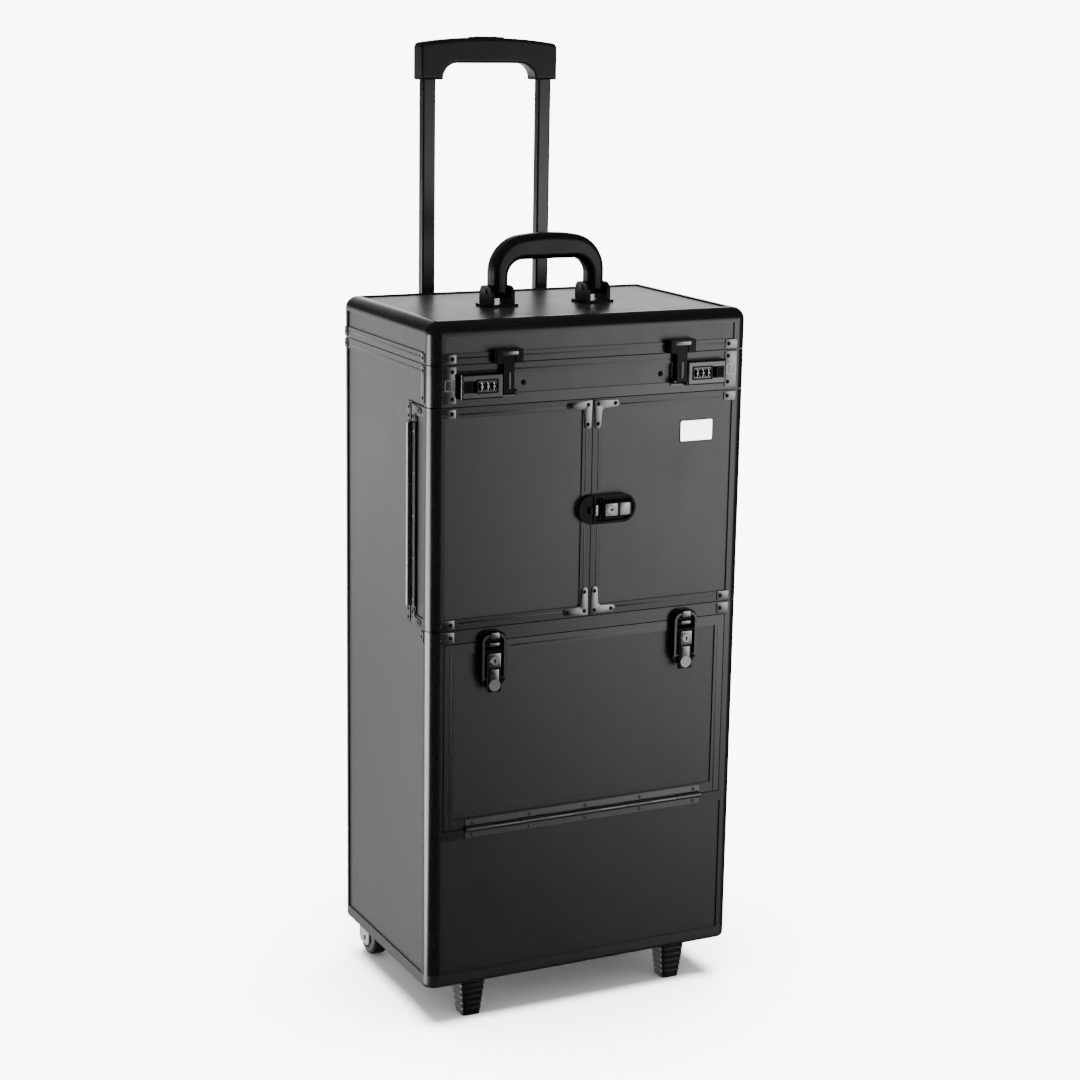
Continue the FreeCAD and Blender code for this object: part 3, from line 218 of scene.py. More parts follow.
@dataclass(frozen=True)
class Finish:
    """A surface finish; its dress method fills in the nodes.

    Attributes:
        name: name of the material.
        dark: colour in the hollows.
        light: colour on the high spots.
        roughness: mean roughness.
        metallic: 1 for bare or plated metal.
        specular: strength of the mirrored light, 0.5 for clear lacquer.
    """

    name: str
    dark: Colour
    light: Colour
    roughness: float
    metallic: float = 0
    specular: float = 0.5

    made: ClassVar[dict[str, bpy.types.Material]] = {}

    def material(self) -> bpy.types.Material:
        """Make the finish's material on first use.

        Returns:
            The material.
        """
        if self.name not in Finish.made:
            board = Board(self.name)
            self.dress(board)
            Finish.made[self.name] = board.material
        return Finish.made[self.name]

    def dress(self, board: Board) -> None:
        """Fill in the nodes."""
        raise NotImplementedError


@dataclass(frozen=True)
class Laminate(Finish):
    """Satin black laminate with a fine pebbled grain.

    Attributes:
        grain: pebbles per metre.
        depth: of the grain, in metres.
    """

    grain: float = 1500
    depth: float = 0.00006

    def dress(self, board: Board) -> None:
        """Pebbled grain, slow changes of gloss and faint handling marks.

        Args:
            board: the material's nodes.
        """
        pebble = board.node("ShaderNodeTexVoronoi", {}, {"Vector": board.place, "Scale": self.grain})
        slow = board.noise(9, 3)
        marks = board.noise(60, 4, (1, 1, 0.15))
        board.shade(
            Base_Color=board.tint(slow * 0.6 + marks * 0.4, self.dark, self.light),
            Roughness=(self.roughness + (slow - 0.5) * 0.12 + (marks - 0.5) * 0.08).clamp(0.05, 1),
            Normal=board.bump(pebble * 0.7 + board.noise(self.grain * 0.6) * 0.3, self.depth, 0.5),
        )


@dataclass(frozen=True)
class Drawn(Finish):
    """Drawn or coated metal with fine lines along one axis.

    Attributes:
        stretch: scale of the lines along the axes, small along the line.
        depth: of the lines, in metres.
    """

    stretch: tuple[float, float, float] = (1, 1, 0.02)
    depth: float = 0.00002

    def dress(self, board: Board) -> None:
        """Fine lines in gloss and bump, slow changes of colour.

        Args:
            board: the material's nodes.
        """
        lines = board.noise(2600, 3, self.stretch)
        slow = board.noise(14, 2)
        board.shade(
            Base_Color=board.tint(lines * 0.5 + slow * 0.5, self.dark, self.light),
            Metallic=self.metallic,
            Specular_IOR_Level=self.specular,
            Roughness=(self.roughness + (lines - 0.5) * 0.14 + (slow - 0.5) * 0.08).clamp(0.03, 1),
            Normal=board.bump(lines, self.depth, 0.4),
        )


@dataclass(frozen=True)
class Moulding(Finish):
    """Moulded plastic or rubber with a spark-eroded texture.

    Attributes:
        grain: grains per metre.
        depth: of the texture, in metres.
    """

    grain: float = 2200
    depth: float = 0.00008

    def dress(self, board: Board) -> None:
        """Fine eroded texture and slow changes of gloss.

        Args:
            board: the material's nodes.
        """
        grit = board.noise(self.grain, 3)
        slow = board.noise(30, 2)
        board.shade(
            Base_Color=board.tint(grit * 0.5 + slow * 0.5, self.dark, self.light),
            Specular_IOR_Level=self.specular,
            Roughness=(self.roughness + (slow - 0.5) * 0.16 + (grit - 0.5) * 0.1).clamp(0.05, 1),
            Normal=board.bump(grit, self.depth, 0.35),
        )


@dataclass(frozen=True)
class Plated(Finish):
    """Nickel plating with soft ripples and hairline scratches."""

    def dress(self, board: Board) -> None:
        """Ripples, scratches and dull patches in the gloss.

        Args:
            board: the material's nodes.
        """
        ripple = board.noise(260, 2)
        scratch = board.noise(1800, 4, (0.08, 1, 1))
        dull = board.noise(70, 3)
        board.shade(
            Base_Color=board.tint(dull * 0.7 + scratch * 0.3, self.dark, self.light),
            Metallic=self.metallic,
            Roughness=(self.roughness + (dull - 0.5) * 0.2 + (scratch - 0.5) * 0.12).clamp(0.04, 1),
            Normal=board.bump(ripple * 0.8 + scratch * 0.2, 0.00004, 0.4),
        )


def grey(value: float) -> Colour:
    """A neutral colour."""
    return (value, value, value)


PROFILE_GREYS = grey(0.0005), grey(0.0009)
PROFILE_LINES = 0.000008

PANEL = Laminate("panel_laminate", grey(0.0012), grey(0.002), 0.36)
PROFILE = Drawn("black_profile", *PROFILE_GREYS, 0.25, specular=0.38, depth=PROFILE_LINES)
UPRIGHT = Drawn("upright_profile", *PROFILE_GREYS, 0.25, specular=0.46, depth=PROFILE_LINES)
BAND = Drawn("flat_profile", *PROFILE_GREYS, 0.28, specular=0.56, depth=PROFILE_LINES)
HINGE = Drawn("hinge_black", grey(0.001), grey(0.002), 0.36, specular=0.9)
LEAF = Drawn("hinge_leaf", grey(0.09), grey(0.12), 0.34, 1, stretch=(0.02, 1, 1))
STEEL = Plated("pin_steel", (0.42, 0.42, 0.43), (0.60, 0.60, 0.61), 0.28, 1)
LATCH_BLACK = Drawn("latch_black", grey(0.0003), grey(0.0006), 0.22, specular=0.06)
NICKEL = Plated("nickel", (0.12, 0.12, 0.122), (0.20, 0.20, 0.198), 0.28, 1)
BRACKET = Plated("bracket_plate", grey(0.09), grey(0.15), 0.24, 1)
LOCK_FACE = Plated("lock_face", grey(0.045), grey(0.075), 0.26, 1)
# Painted shade: this darker nickel serves the bails, pins and strap inlays, and also the plates on the
# case's sides as a shaded copy of the front plates' nickel.
WIRE_AND_SIDE_SHADE = Plated("bail_wire", grey(0.03), grey(0.06), 0.28, 1)
LOCK_BLACK = Moulding("lock_black", grey(0.0003), grey(0.0006), 0.26, specular=0.06, depth=0.00002)
HANDLE = Moulding("handle_black", grey(0.0004), grey(0.0008), 0.34, specular=0.2)
TUBE = Drawn("tube_anodised", (0.030, 0.031, 0.032), (0.055, 0.056, 0.058), 0.34, 1)
MOULDED = Moulding("moulded_black", grey(0.0005), grey(0.001), 0.42, specular=0.3)
TYRE = Moulding("tyre_rubber", grey(0.001), grey(0.002), 0.62, grain=900)
CARD = Moulding("white_plate", (0.88, 0.88, 0.87), (0.94, 0.94, 0.93), 0.35, depth=0.00001)
FIGURE = Moulding("figure_white", grey(0.14), grey(0.18), 0.4, depth=0.00001)

SLOT_FINISH = {
    "panel_black": PANEL,
    "profile_black": PROFILE,
    "hinge_black": HINGE,
    "pin_steel": STEEL,
    "latch_black": LATCH_BLACK,
    "latch_nickel": NICKEL,
    "lock_black": LOCK_BLACK,
    "handle_black": HANDLE,
    "tube_grey": TUBE,
    "moulded_black": MOULDED,
    "wheel_black": TYRE,
}

NODE_FINISH = {
    "latch_bail": WIRE_AND_SIDE_SHADE,
    "handle_pins": WIRE_AND_SIDE_SHADE,
    "lock_bodies": LOCK_FACE,
    "base_frame": PANEL,
    "flap_hinge_leaf": LEAF,
    "flap_frame": BAND,
    "front_frames": UPRIGHT,
}


# Mesh building


class Form:
    """A piece in the making: shapes in millimetres, made with bmesh operators and put together."""

    def __init__(self) -> None:
        """Start empty."""
        self.mesh = bmesh.new()

    def take(self, shape: bmesh.types.BMesh, places: Iterable[Matrix]) -> None:
        """Add a shape at every place.

        Args:
            shape: the shape, which is used up.
            places: where copies of it go.
        """
        for place in places:
            copy = shape.copy()
            bmesh.ops.transform(copy, matrix=place, verts=copy.verts)
            bmesh.ops.recalc_face_normals(copy, faces=copy.faces)
            data = bpy.data.meshes.new("shape")
            copy.to_mesh(data)
            copy.free()
            self.mesh.from_mesh(data)
            bpy.data.meshes.remove(data)
        shape.free()

    def slab(
        self,
        outline: Sequence[Point],
        depth: float,
        places: Iterable[Matrix],
        corners: float | Sequence[float] = 0,
        edge: float = 0,
    ) -> None:
        """Add a plate.

        Args:
            outline: its corners in its own x and y.
            depth: its thickness along its own z.
            places: where copies of it go.
            corners: rounding of the outline, for all corners or one by one.
            edge: rounding of the upper rim.
        """
        shape = bmesh.new()
        points = [shape.verts.new((x, y, 0)) for x, y in outline]
        shape.faces.new(points)
        radii = corners if isinstance(corners, Sequence) else [corners] * len(points)
        for point, radius in zip(points, radii):
            if radius:
                round_off(shape, [point], radius, "VERTICES", 5)
        thicken(shape, depth)
        if edge:
            rim = [line for line in shape.edges if all(end.co.z > depth - 1e-6 for end in line.verts)]
            round_off(shape, rim, edge, "EDGES", 2)
        self.take(shape, places)

    def turned(self, profile: Sequence[Point], places: Iterable[Matrix], steps: int = 20) -> None:
        """Add a shape turned about its own z.

        Args:
            profile: radius and height of its points, from the top to the foot.
            places: where copies of it go.
            steps: facets round the turn.
        """
        self.take(turned_shape(profile, steps), places)

    def rivets(self, places: Iterable[Matrix], radius: float, height: float) -> None:
        """Add domed rivet heads."""
        dome = [(0, 1), (0.42, 0.94), (0.74, 0.72), (0.93, 0.36), (1, 0), (1, -0.3)]
        self.turned([(radius * r, height * h) for r, h in dome], places, 16)

    def screws(self, places: Iterable[Matrix], radius: float, height: float) -> None:
        """Add raised screw heads with a cross recess: four quarters on a thin base.

        Args:
            places: where the heads go.
            radius: a head's radius.
            height: its height.
        """
        places = list(places)
        slot = radius * 0.14
        dome = [(0, 1), (0.55, 0.86), (0.88, 0.5), (1, 0.1), (1, 0)]
        quarter = turned_shape([(radius * r, height * h) for r, h in dome], 20)
        for normal in ((1, 0, 0), (0, 1, 0)):
            cut = bmesh.ops.bisect_plane(
                quarter, geom=quarter.verts[:] + quarter.edges[:] + quarter.faces[:],
                plane_co=(slot, slot, 0), plane_no=normal, clear_inner=True)
            rim = [item for item in cut["geom_cut"] if isinstance(item, bmesh.types.BMEdge)]
            bmesh.ops.holes_fill(quarter, edges=rim, sides=0)
        turns = [Matrix.Rotation(math.radians(90 * turn), 4, "Z") for turn in range(4)]
        self.take(quarter, [place @ turn for place in places for turn in turns])
        base = height * 0.35
        self.turned([(0, base), (radius * 0.96, base), (radius, 0), (radius, -0.3)], places, 20)

    def ring(
        self,
        size: Point,
        rim: float,
        depth: float,
        places: Iterable[Matrix],
        corner: float,
    ) -> None:
        """Add a rectangular frame.

        Args:
            size: outer width and height.
            rim: width of its bars.
            depth: thickness.
            places: where copies of it go.
            corner: rounding of the outer corners.
        """
        shape = bmesh.new()
        points = [shape.verts.new((x, y, 0)) for x, y in rectangle(*size)]
        shape.faces.new(points)
        round_off(shape, points, corner, "VERTICES", 4)
        middle = shape.faces[:]
        bmesh.ops.inset_region(
            shape, faces=middle, thickness=rim, use_boundary=True, use_even_offset=True)
        bmesh.ops.delete(shape, geom=middle, context="FACES")
        thicken(shape, depth)
        self.take(shape, places)

    def piece(self, name: str, finish: Finish, body: str, slot: str) -> bpy.types.Object:
        """Turn the form into a piece of the case.

        Args:
            name: the piece's name.
            finish: its finish.
            body: the body it moves with.
            slot: the material slot it belongs to; not used.

        Returns:
            The new object.
        """
        bmesh.ops.scale(self.mesh, vec=(MM, MM, MM), verts=self.mesh.verts)
        data = bpy.data.meshes.new(name)
        self.mesh.to_mesh(data)
        self.mesh.free()
        data.polygons.foreach_set("use_smooth", [True] * len(data.polygons))
        data.set_sharp_from_angle(angle=math.radians(SHARP_ANGLE))
        data.materials.append(finish.material())
        made = bpy.data.objects.new(name, data)
        bpy.context.scene.collection.objects.link(made)
        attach(made, body)
        log.info("piece %s on %s: %d faces", name, body, len(data.polygons))
        return made


def thicken(shape: bmesh.types.BMesh, depth: float) -> None:
    """Extrude the flat faces of a shape along z.

    Args:
        shape: the shape, which is changed.
        depth: its new thickness.
    """
    lifted = bmesh.ops.extrude_face_region(shape, geom=shape.faces[:])["geom"]
    moved = [item for item in lifted if isinstance(item, bmesh.types.BMVert)]
    bmesh.ops.translate(shape, vec=(0, 0, depth), verts=moved)


def round_off(
    shape: bmesh.types.BMesh,
    geometry: list,
    radius: float,
    affect: str,
    segments: int,
) -> None:
    """Round corners or edges of a shape.

    Args:
        shape: the shape, which is changed.
        geometry: its corners or edges.
        radius: how far the rounding reaches.
        affect: VERTICES for corners, EDGES for edges.
        segments: facets of the rounding.
    """
    bmesh.ops.bevel(
        shape, geom=geometry, offset=radius, offset_type="OFFSET", segments=segments, profile=0.5,
        affect=affect, material=-1, clamp_overlap=True)


def turned_shape(profile: Sequence[Point], steps: int) -> bmesh.types.BMesh:
    """Spin a profile about z and close its foot.

    Args:
        profile: radius and height of its points, from the top to the foot.
        steps: facets round the turn.

    Returns:
        The closed shape.
    """
    shape = bmesh.new()
    points = [shape.verts.new((radius, 0, height)) for radius, height in profile]
    lines = [shape.edges.new(pair) for pair in zip(points, points[1:])]
    bmesh.ops.spin(
        shape, geom=points + lines, cent=(0, 0, 0), axis=(0, 0, 1), dvec=(0, 0, 0),
        angle=math.tau, steps=steps, use_merge=True, use_duplicate=False)
    bmesh.ops.remove_doubles(shape, verts=shape.verts, dist=1e-5)
    bmesh.ops.holes_fill(shape, edges=[line for line in shape.edges if line.is_boundary], sides=0)
    return shape


def rectangle(width: float, height: float, x: float = 0, y: float = 0) -> list[Point]:
    """Corners of a rectangle about a point."""
    return [(x + width * a / 2, y + height * b / 2) for a, b in ((-1, -1), (1, -1), (1, 1), (-1, 1))]


def extent(name: str) -> tuple[Vector, Vector]:
    """Lowest and highest corner of a solid, in millimetres."""
    low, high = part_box(name)
    return low / MM, high / MM


def inner_reach(name: str) -> float:
    """Least distance in millimetres from the middle plane to a mirrored pair of solids."""
    return min(abs(point.co.x) for point in frame["nodes"][name].data.vertices) / MM


@dataclass
class Case:
    """Main planes of the case, read from the solids, in millimetres.

    Attributes:
        front: y of the front frames' face.
        back: y of the back.
        half: half of the width.
        seam: z of the lid's seam.
        door_low: z of the doors' foot.
        door_high: z of their top.
        flap_high: z of the flap's top.
        skin: frames' face to the panels' face.
    """

    front: float = 0
    back: float = 0
    half: float = 0
    seam: float = 0
    door_low: float = 0
    door_high: float = 0
    flap_high: float = 0
    skin: float = 1.6

    def __post_init__(self) -> None:
        """Read the planes."""
        low, high = extent("base_frame")
        self.front, self.back, self.half = low.y, high.y, high.x
        self.seam = (extent("case_rim")[1].z + extent("lid_frame")[0].z) / 2
        self.door_low, self.door_high = (corner.z for corner in extent("door_frame"))
        self.flap_high = extent("flap_frame")[1].z


@dataclass
class Assembly:
    """A group of trim pieces that is laid out from the case's planes.

    Attributes:
        case: the case's planes.
    """

    case: Case

    def build(self) -> None:
        """Make the group's pieces."""
        raise NotImplementedError


@dataclass
class Riveted:
    """Plates of one body with the rivets through them, the rivets painted black as the shade round their
    domes.

    Attributes:
        thickness: plate.
        rivet: radius of a rivet's head.
        plates: the plates so far.
        heads: the rivets so far.
    """

    thickness: float = 0.9
    rivet: float = 2
    plates: Form = field(default_factory=Form)
    heads: Form = field(default_factory=Form)

    def add(
        self,
        outline: Sequence[Point],
        place: Matrix,
        rivets: Sequence[Point],
        corners: float | Sequence[float],
        sunk: float = 0,
    ) -> None:
        """Add one plate.

        Args:
            outline: its corners in its own x and y.
            place: where it lies, on the face it is fixed to.
            rivets: middles of its rivets.
            corners: rounding of its corners.
            sunk: how far it reaches below the face.
        """
        bed = place @ Matrix.Translation((0, 0, -sunk))
        self.plates.slab(outline, self.thickness + sunk, [bed], corners, 0.3)
        spots = [place @ Matrix.Translation((x, y, self.thickness)) for x, y in rivets]
        self.heads.rivets(spots, self.rivet, self.rivet / 2)

    def finish(self, name: str, finish: Finish, body: str) -> None:
        """Turn the plates and the rivets into pieces."""
        self.plates.piece(f"{name}_plates", finish, body, "latch_nickel")
        # Painted shade: the rivet heads get the black latch finish to stand in for the dark ring of shade
        # round their domes.
        self.heads.piece(f"{name}_rivets", LATCH_BLACK, body, "latch_black")


@dataclass
class CornerPlates(Assembly):
    """Plates beside the rounded corners, at the seams.

    Attributes:
        bend: outer rounding of the case's corner, which the plates keep clear of.
        clear: gap between a plate and that rounding.
        width: front plates.
        side_width: plates on the case's sides.
        short: height of a plate with one rivet.
        seam_gap: edge of a plate to the lid's seam.
        edge_gap: edge of a plate to the edge of a door or of the flap.
        frame_gap: plates on the frames to the doors' top and to their foot.
        spread: rivets of a tall plate, up and down from its middle.
        shift: rivets of a front plate, from its middle towards the case's.
        corner: rounding of the plates' corners.
        pressed: width and height of a tall plate's pressed field.
    """

    bend: float = 13
    clear: float = 0.4
    width: float = 15
    side_width: float = 8
    short: float = 10
    seam_gap: float = 1.4
    edge_gap: float = 2
    frame_gap: Point = (3, 1)
    spread: float = 14
    shift: float = 3.3
    corner: float = 1.2
    pressed: Point = (11, 12)

    def rows(self) -> dict[str, list[tuple[float, float, list[float]]]]:
        """List the plates of one corner.

        Returns:
            Low and high end and rivet heights of the plates, for each kind of body.
        """
        c = self.case
        above, below = self.frame_gap
        lid_foot = c.seam + self.seam_gap
        door_top = c.door_high - self.edge_gap
        door_foot = c.door_low + self.edge_gap
        return {
            "lid": [(lid_foot, lid_foot + self.short, [0])],
            "case": [(c.door_high + above, c.seam - self.seam_gap, [-self.spread, self.spread]),
                     (c.flap_high + self.edge_gap, c.door_low - below, [0])],
            "door": [(door_top - self.short, door_top, [0]), (door_foot, door_foot + self.short, [0])],
        }

    def build(self) -> None:
        """Make the plates of both corners, the front ones and those on the sides, the side ones in a darker
        nickel as painted shade.
        """
        for side in Side:
            for kind, rows in self.rows().items():
                body = f"{side.word}_door" if kind == "door" else kind
                front = Riveted(rivet=2.2)
                for low, high, rivets in rows:
                    self.plate(front, side, low, high, rivets)
                front.finish(f"{side.word}_{kind}_corner", BRACKET, body)
                if kind != "door":
                    # Painted shade: the side plates take the darker nickel so the side's bright light
                    # doesn't lift them.
                    flank = Riveted(rivet=1.8)
                    self.flank(flank, side, kind, rows)
                    flank.finish(f"{side.word}_{kind}_flank", WIRE_AND_SIDE_SHADE, body)

    def plate(self, group: Riveted, side: Side, low: float, high: float, rivets: Sequence[float]) -> None:
        """Add one front plate and, where it is tall, its pressed field.

        Args:
            group: the plates so far.
            side: the case's side.
            low: height of the plate's foot.
            high: height of its top.
            rivets: heights of its rivets, from its middle.
        """
        c = self.case
        x = side.value * (c.half - self.bend - self.clear - self.width / 2)
        place = Face.FRONT.at(x, c.front, (low + high) / 2)
        spots = [(-side.value * self.shift, z) for z in rivets]
        group.add(rectangle(self.width, high - low), place, spots, self.corner, c.skin)
        if len(rivets) > 1:
            raised = place @ Matrix.Translation((0, 0, group.thickness))
            group.plates.ring(self.pressed, 1.3, 0.5, [raised], 1)

    def flank(self, group: Riveted, side: Side, kind: str, rows: Iterable) -> None:
        """Add the plates on the case's side, behind its front corner and before its rear one.

        Args:
            group: the plates so far.
            side: the case's side.
            kind: lid or case.
            rows: low and high end and rivet heights of the plates.
        """
        c = self.case
        x = side.value * c.half
        y = c.front + self.bend + self.clear + self.side_width / 2
        for low, high, rivets in rows:
            place = Face.of(side).at(x, y, (low + high) / 2)
            spots = [(0, z) for z in rivets]
            group.add(rectangle(self.side_width, high - low), place, spots, self.corner, c.skin)
        step = self.seam_gap + self.short / 2
        z = c.seam + step if kind == "lid" else c.seam - step
        place = Face.of(side).at(x, c.back - self.bend - self.clear, z)
        group.add(rectangle(self.side_width, self.short), place, [(0, 0)], self.corner, c.skin)


@dataclass
class DoorBrackets(Assembly):
    """Angle plates at the doors' meeting corners and rear corners.

    Attributes:
        leg: lying leg of a meeting plate.
        drop: its upright leg.
        width: width of both.
        end: rivets to the ends of the legs.
        rear_leg: lying leg of a rear plate.
        rear_drop: its upright leg.
        rear_width: width of both.
        rear_end: rivets to the ends of its legs.
        inset: plates to the doors' top and foot.
        middle_gap: meeting plates to the case's middle.
        rear_place: case's front to the corner of the rear plates.
        stile_place: case's front to the middle of the plates behind them.
        stile_drop: doors' top and foot to that middle.
        stile: height of the plates behind.
        stile_spread: their rivets, up and down from the middle.
    """

    leg: float = 30
    drop: float = 31
    width: float = 10
    end: float = 5
    rear_leg: float = 23
    rear_drop: float = 17
    rear_width: float = 8.6
    rear_end: float = 4.4
    inset: float = 1.6
    middle_gap: float = 1
    rear_place: float = 45.2
    stile_place: float = 52.6
    stile_drop: float = 10.5
    stile: float = 18
    stile_spread: float = 4.6

    def build(self) -> None:
        """Make each door's four angle plates and the case's plates beside them."""
        for side in Side:
            self.meeting(side)
            self.rear(side)
            self.stiles(side)

    @staticmethod
    def angle(leg: float, drop: float, width: float) -> list[Point]:
        """Draw an angle plate from its corner, with legs along +x and -y.

        Args:
            leg: lying leg.
            drop: upright leg.
            width: width of both at the corner.

        Returns:
            The outline's corners.
        """
        taper = width * 0.12
        return [(0, 0), (leg, -taper), (leg, -width + taper), (width, -width),
                (width - taper, -drop), (taper, -drop)]

    def ends(self) -> list[tuple[float, int]]:
        """Heights of the plates at a door's top and foot, with the way they point."""
        return [(self.case.door_high - self.inset, 1), (self.case.door_low + self.inset, -1)]

    def meeting(self, side: Side) -> None:
        """Add the plates at the doors' meeting edge, top and bottom.

        Args:
            side: the door's side.
        """
        group = Riveted(rivet=2.1)
        outline = self.angle(self.leg, self.drop, self.width)
        middle = self.width / 2
        rivets = [(self.leg - self.end, -middle), (middle, -middle), (middle, self.end - self.drop)]
        for z, flip in self.ends():
            mirror = Matrix.Diagonal((side.value, flip, 1, 1))
            place = Face.FRONT.at(side.value * self.middle_gap, self.case.front, z) @ mirror
            group.add(outline, place, rivets, (0.6, 4, 4, 3, 3.5, 3.5))
        group.finish(f"{side.word}_door_meeting", BRACKET, f"{side.word}_door")

    def rear(self, side: Side) -> None:
        """Add the plates at the door's rear corners, on its side.

        Args:
            side: the door's side.
        """
        c = self.case
        group = Riveted(rivet=1.9)
        outline = self.angle(self.rear_leg, self.rear_drop, self.rear_width)
        middle = self.rear_width / 2
        rivets = [(self.rear_leg - self.rear_end, -middle), (middle, self.rear_end - self.rear_drop)]
        for z, flip in self.ends():
            mirror = Matrix.Diagonal((-side.value, flip, 1, 1))
            place = Face.of(side).at(side.value * c.half, c.front + self.rear_place, z) @ mirror
            group.add(outline, place, rivets, (0.6, 3.6, 3.6, 2.5, 3.2, 3.2))
        # Painted shade: the rear plates on the door's side take the darker nickel.
        group.finish(f"{side.word}_door_rear", WIRE_AND_SIDE_SHADE, f"{side.word}_door")

    def stiles(self, side: Side) -> None:
        """Add the plates on the case behind the door's rear corners.

        Args:
            side: the door's side.
        """
        c = self.case
        group = Riveted(rivet=1.9)
        rivets = [(0, -self.stile_spread), (0, self.stile_spread)]
        for z in (c.door_high - self.stile_drop, c.door_low + self.stile_drop):
            place = Face.of(side).at(side.value * c.half, c.front + self.stile_place, z)
            group.add(rectangle(self.rear_width, self.stile), place, rivets, 2.4)
        # Painted shade: these plates on the case's side take the darker nickel.
        group.finish(f"{side.word}_stile", WIRE_AND_SIDE_SHADE, "case")


@dataclass
class HingeScrews(Assembly):
    """Screws through the hinge leaves.

    Attributes:
        radius: a screw's head.
        height: its height.
        leaf: thickness of a hinge leaf.
        knuckle: radius of a hinge's knuckles.
        offset: hinge pin to the rows of screws.
        end: hinge's ends to the last screws.
        number: screws in a row.
    """

    radius: float = 2.2
    height: float = 0.8
    leaf: float = 1.2
    knuckle: float = 3
    offset: float = 6.8
    end: float = 8
    number: int = 5

    def line(self, length: float) -> list[float]:
        """Places of the screws along a hinge, from its middle."""
        step = (length - 2 * self.end) / (self.number - 1)
        return [-length / 2 + self.end + step * turn for turn in range(self.number)]

    def build(self) -> None:
        """Make the screws of the flap, lid and door hinges on both of their bodies."""
        fixed = Form()
        self.flap(fixed)
        self.lid(fixed)
        for side in Side:
            self.door(fixed, side)
        fixed.piece("fixed_hinge_screws", HINGE, "case", "hinge_black")

    def rows(self, fixed: Form, still: Iterable[Matrix], moving: Iterable[Matrix], body: str) -> None:
        """Add the two rows of screws of one hinge.

        Args:
            fixed: the case's screws so far.
            still: places on the case's leaf.
            moving: places on the other leaf.
            body: the body that carries the other leaf.
        """
        fixed.screws(still, self.radius, self.height)
        turning = Form()
        turning.screws(moving, self.radius, self.height)
        turning.piece(f"{body}_hinge_screws", HINGE, body, "hinge_black")

    def flap(self, fixed: Form) -> None:
        """Add the screws of the flap's hinge.

        Args:
            fixed: the case's screws so far.
        """
        low, high = extent("flap_hinge_leaf")
        pin = low.z + self.knuckle
        face = self.case.front - self.leaf
        along = self.line(high.x - low.x)
        still, moving = (
            [Face.FRONT.at(x, face, pin + way * self.offset) for x in along] for way in (-1, 1))
        self.rows(fixed, still, moving, "flap")

    def lid(self, fixed: Form) -> None:
        """Add the screws of the lid's hinge.

        Args:
            fixed: the case's screws so far.
        """
        low, high = extent("lid_hinge_leaf")
        face = self.case.back + self.leaf
        along = self.line(high.x - low.x)
        still, moving = (
            [Face.BACK.at(x, face, self.case.seam + way * self.offset) for x in along] for way in (-1, 1))
        self.rows(fixed, still, moving, "lid")

    def door(self, fixed: Form, side: Side) -> None:
        """Add the screws of a door's hinge.

        Args:
            fixed: the case's screws so far.
            side: the door's side.
        """
        low, high = extent(f"{side.word}_door_hinge_leaf")
        pin = high.y - self.knuckle
        middle = (low.z + high.z) / 2
        out = side.value * (self.case.half + self.leaf)
        heights = [middle + z for z in self.line(high.z - low.z)]
        still, moving = (
            [Face.of(side).at(out, pin + way * self.offset, z) for z in heights] for way in (1, -1))
        self.rows(fixed, still, moving, f"{side.word}_door")


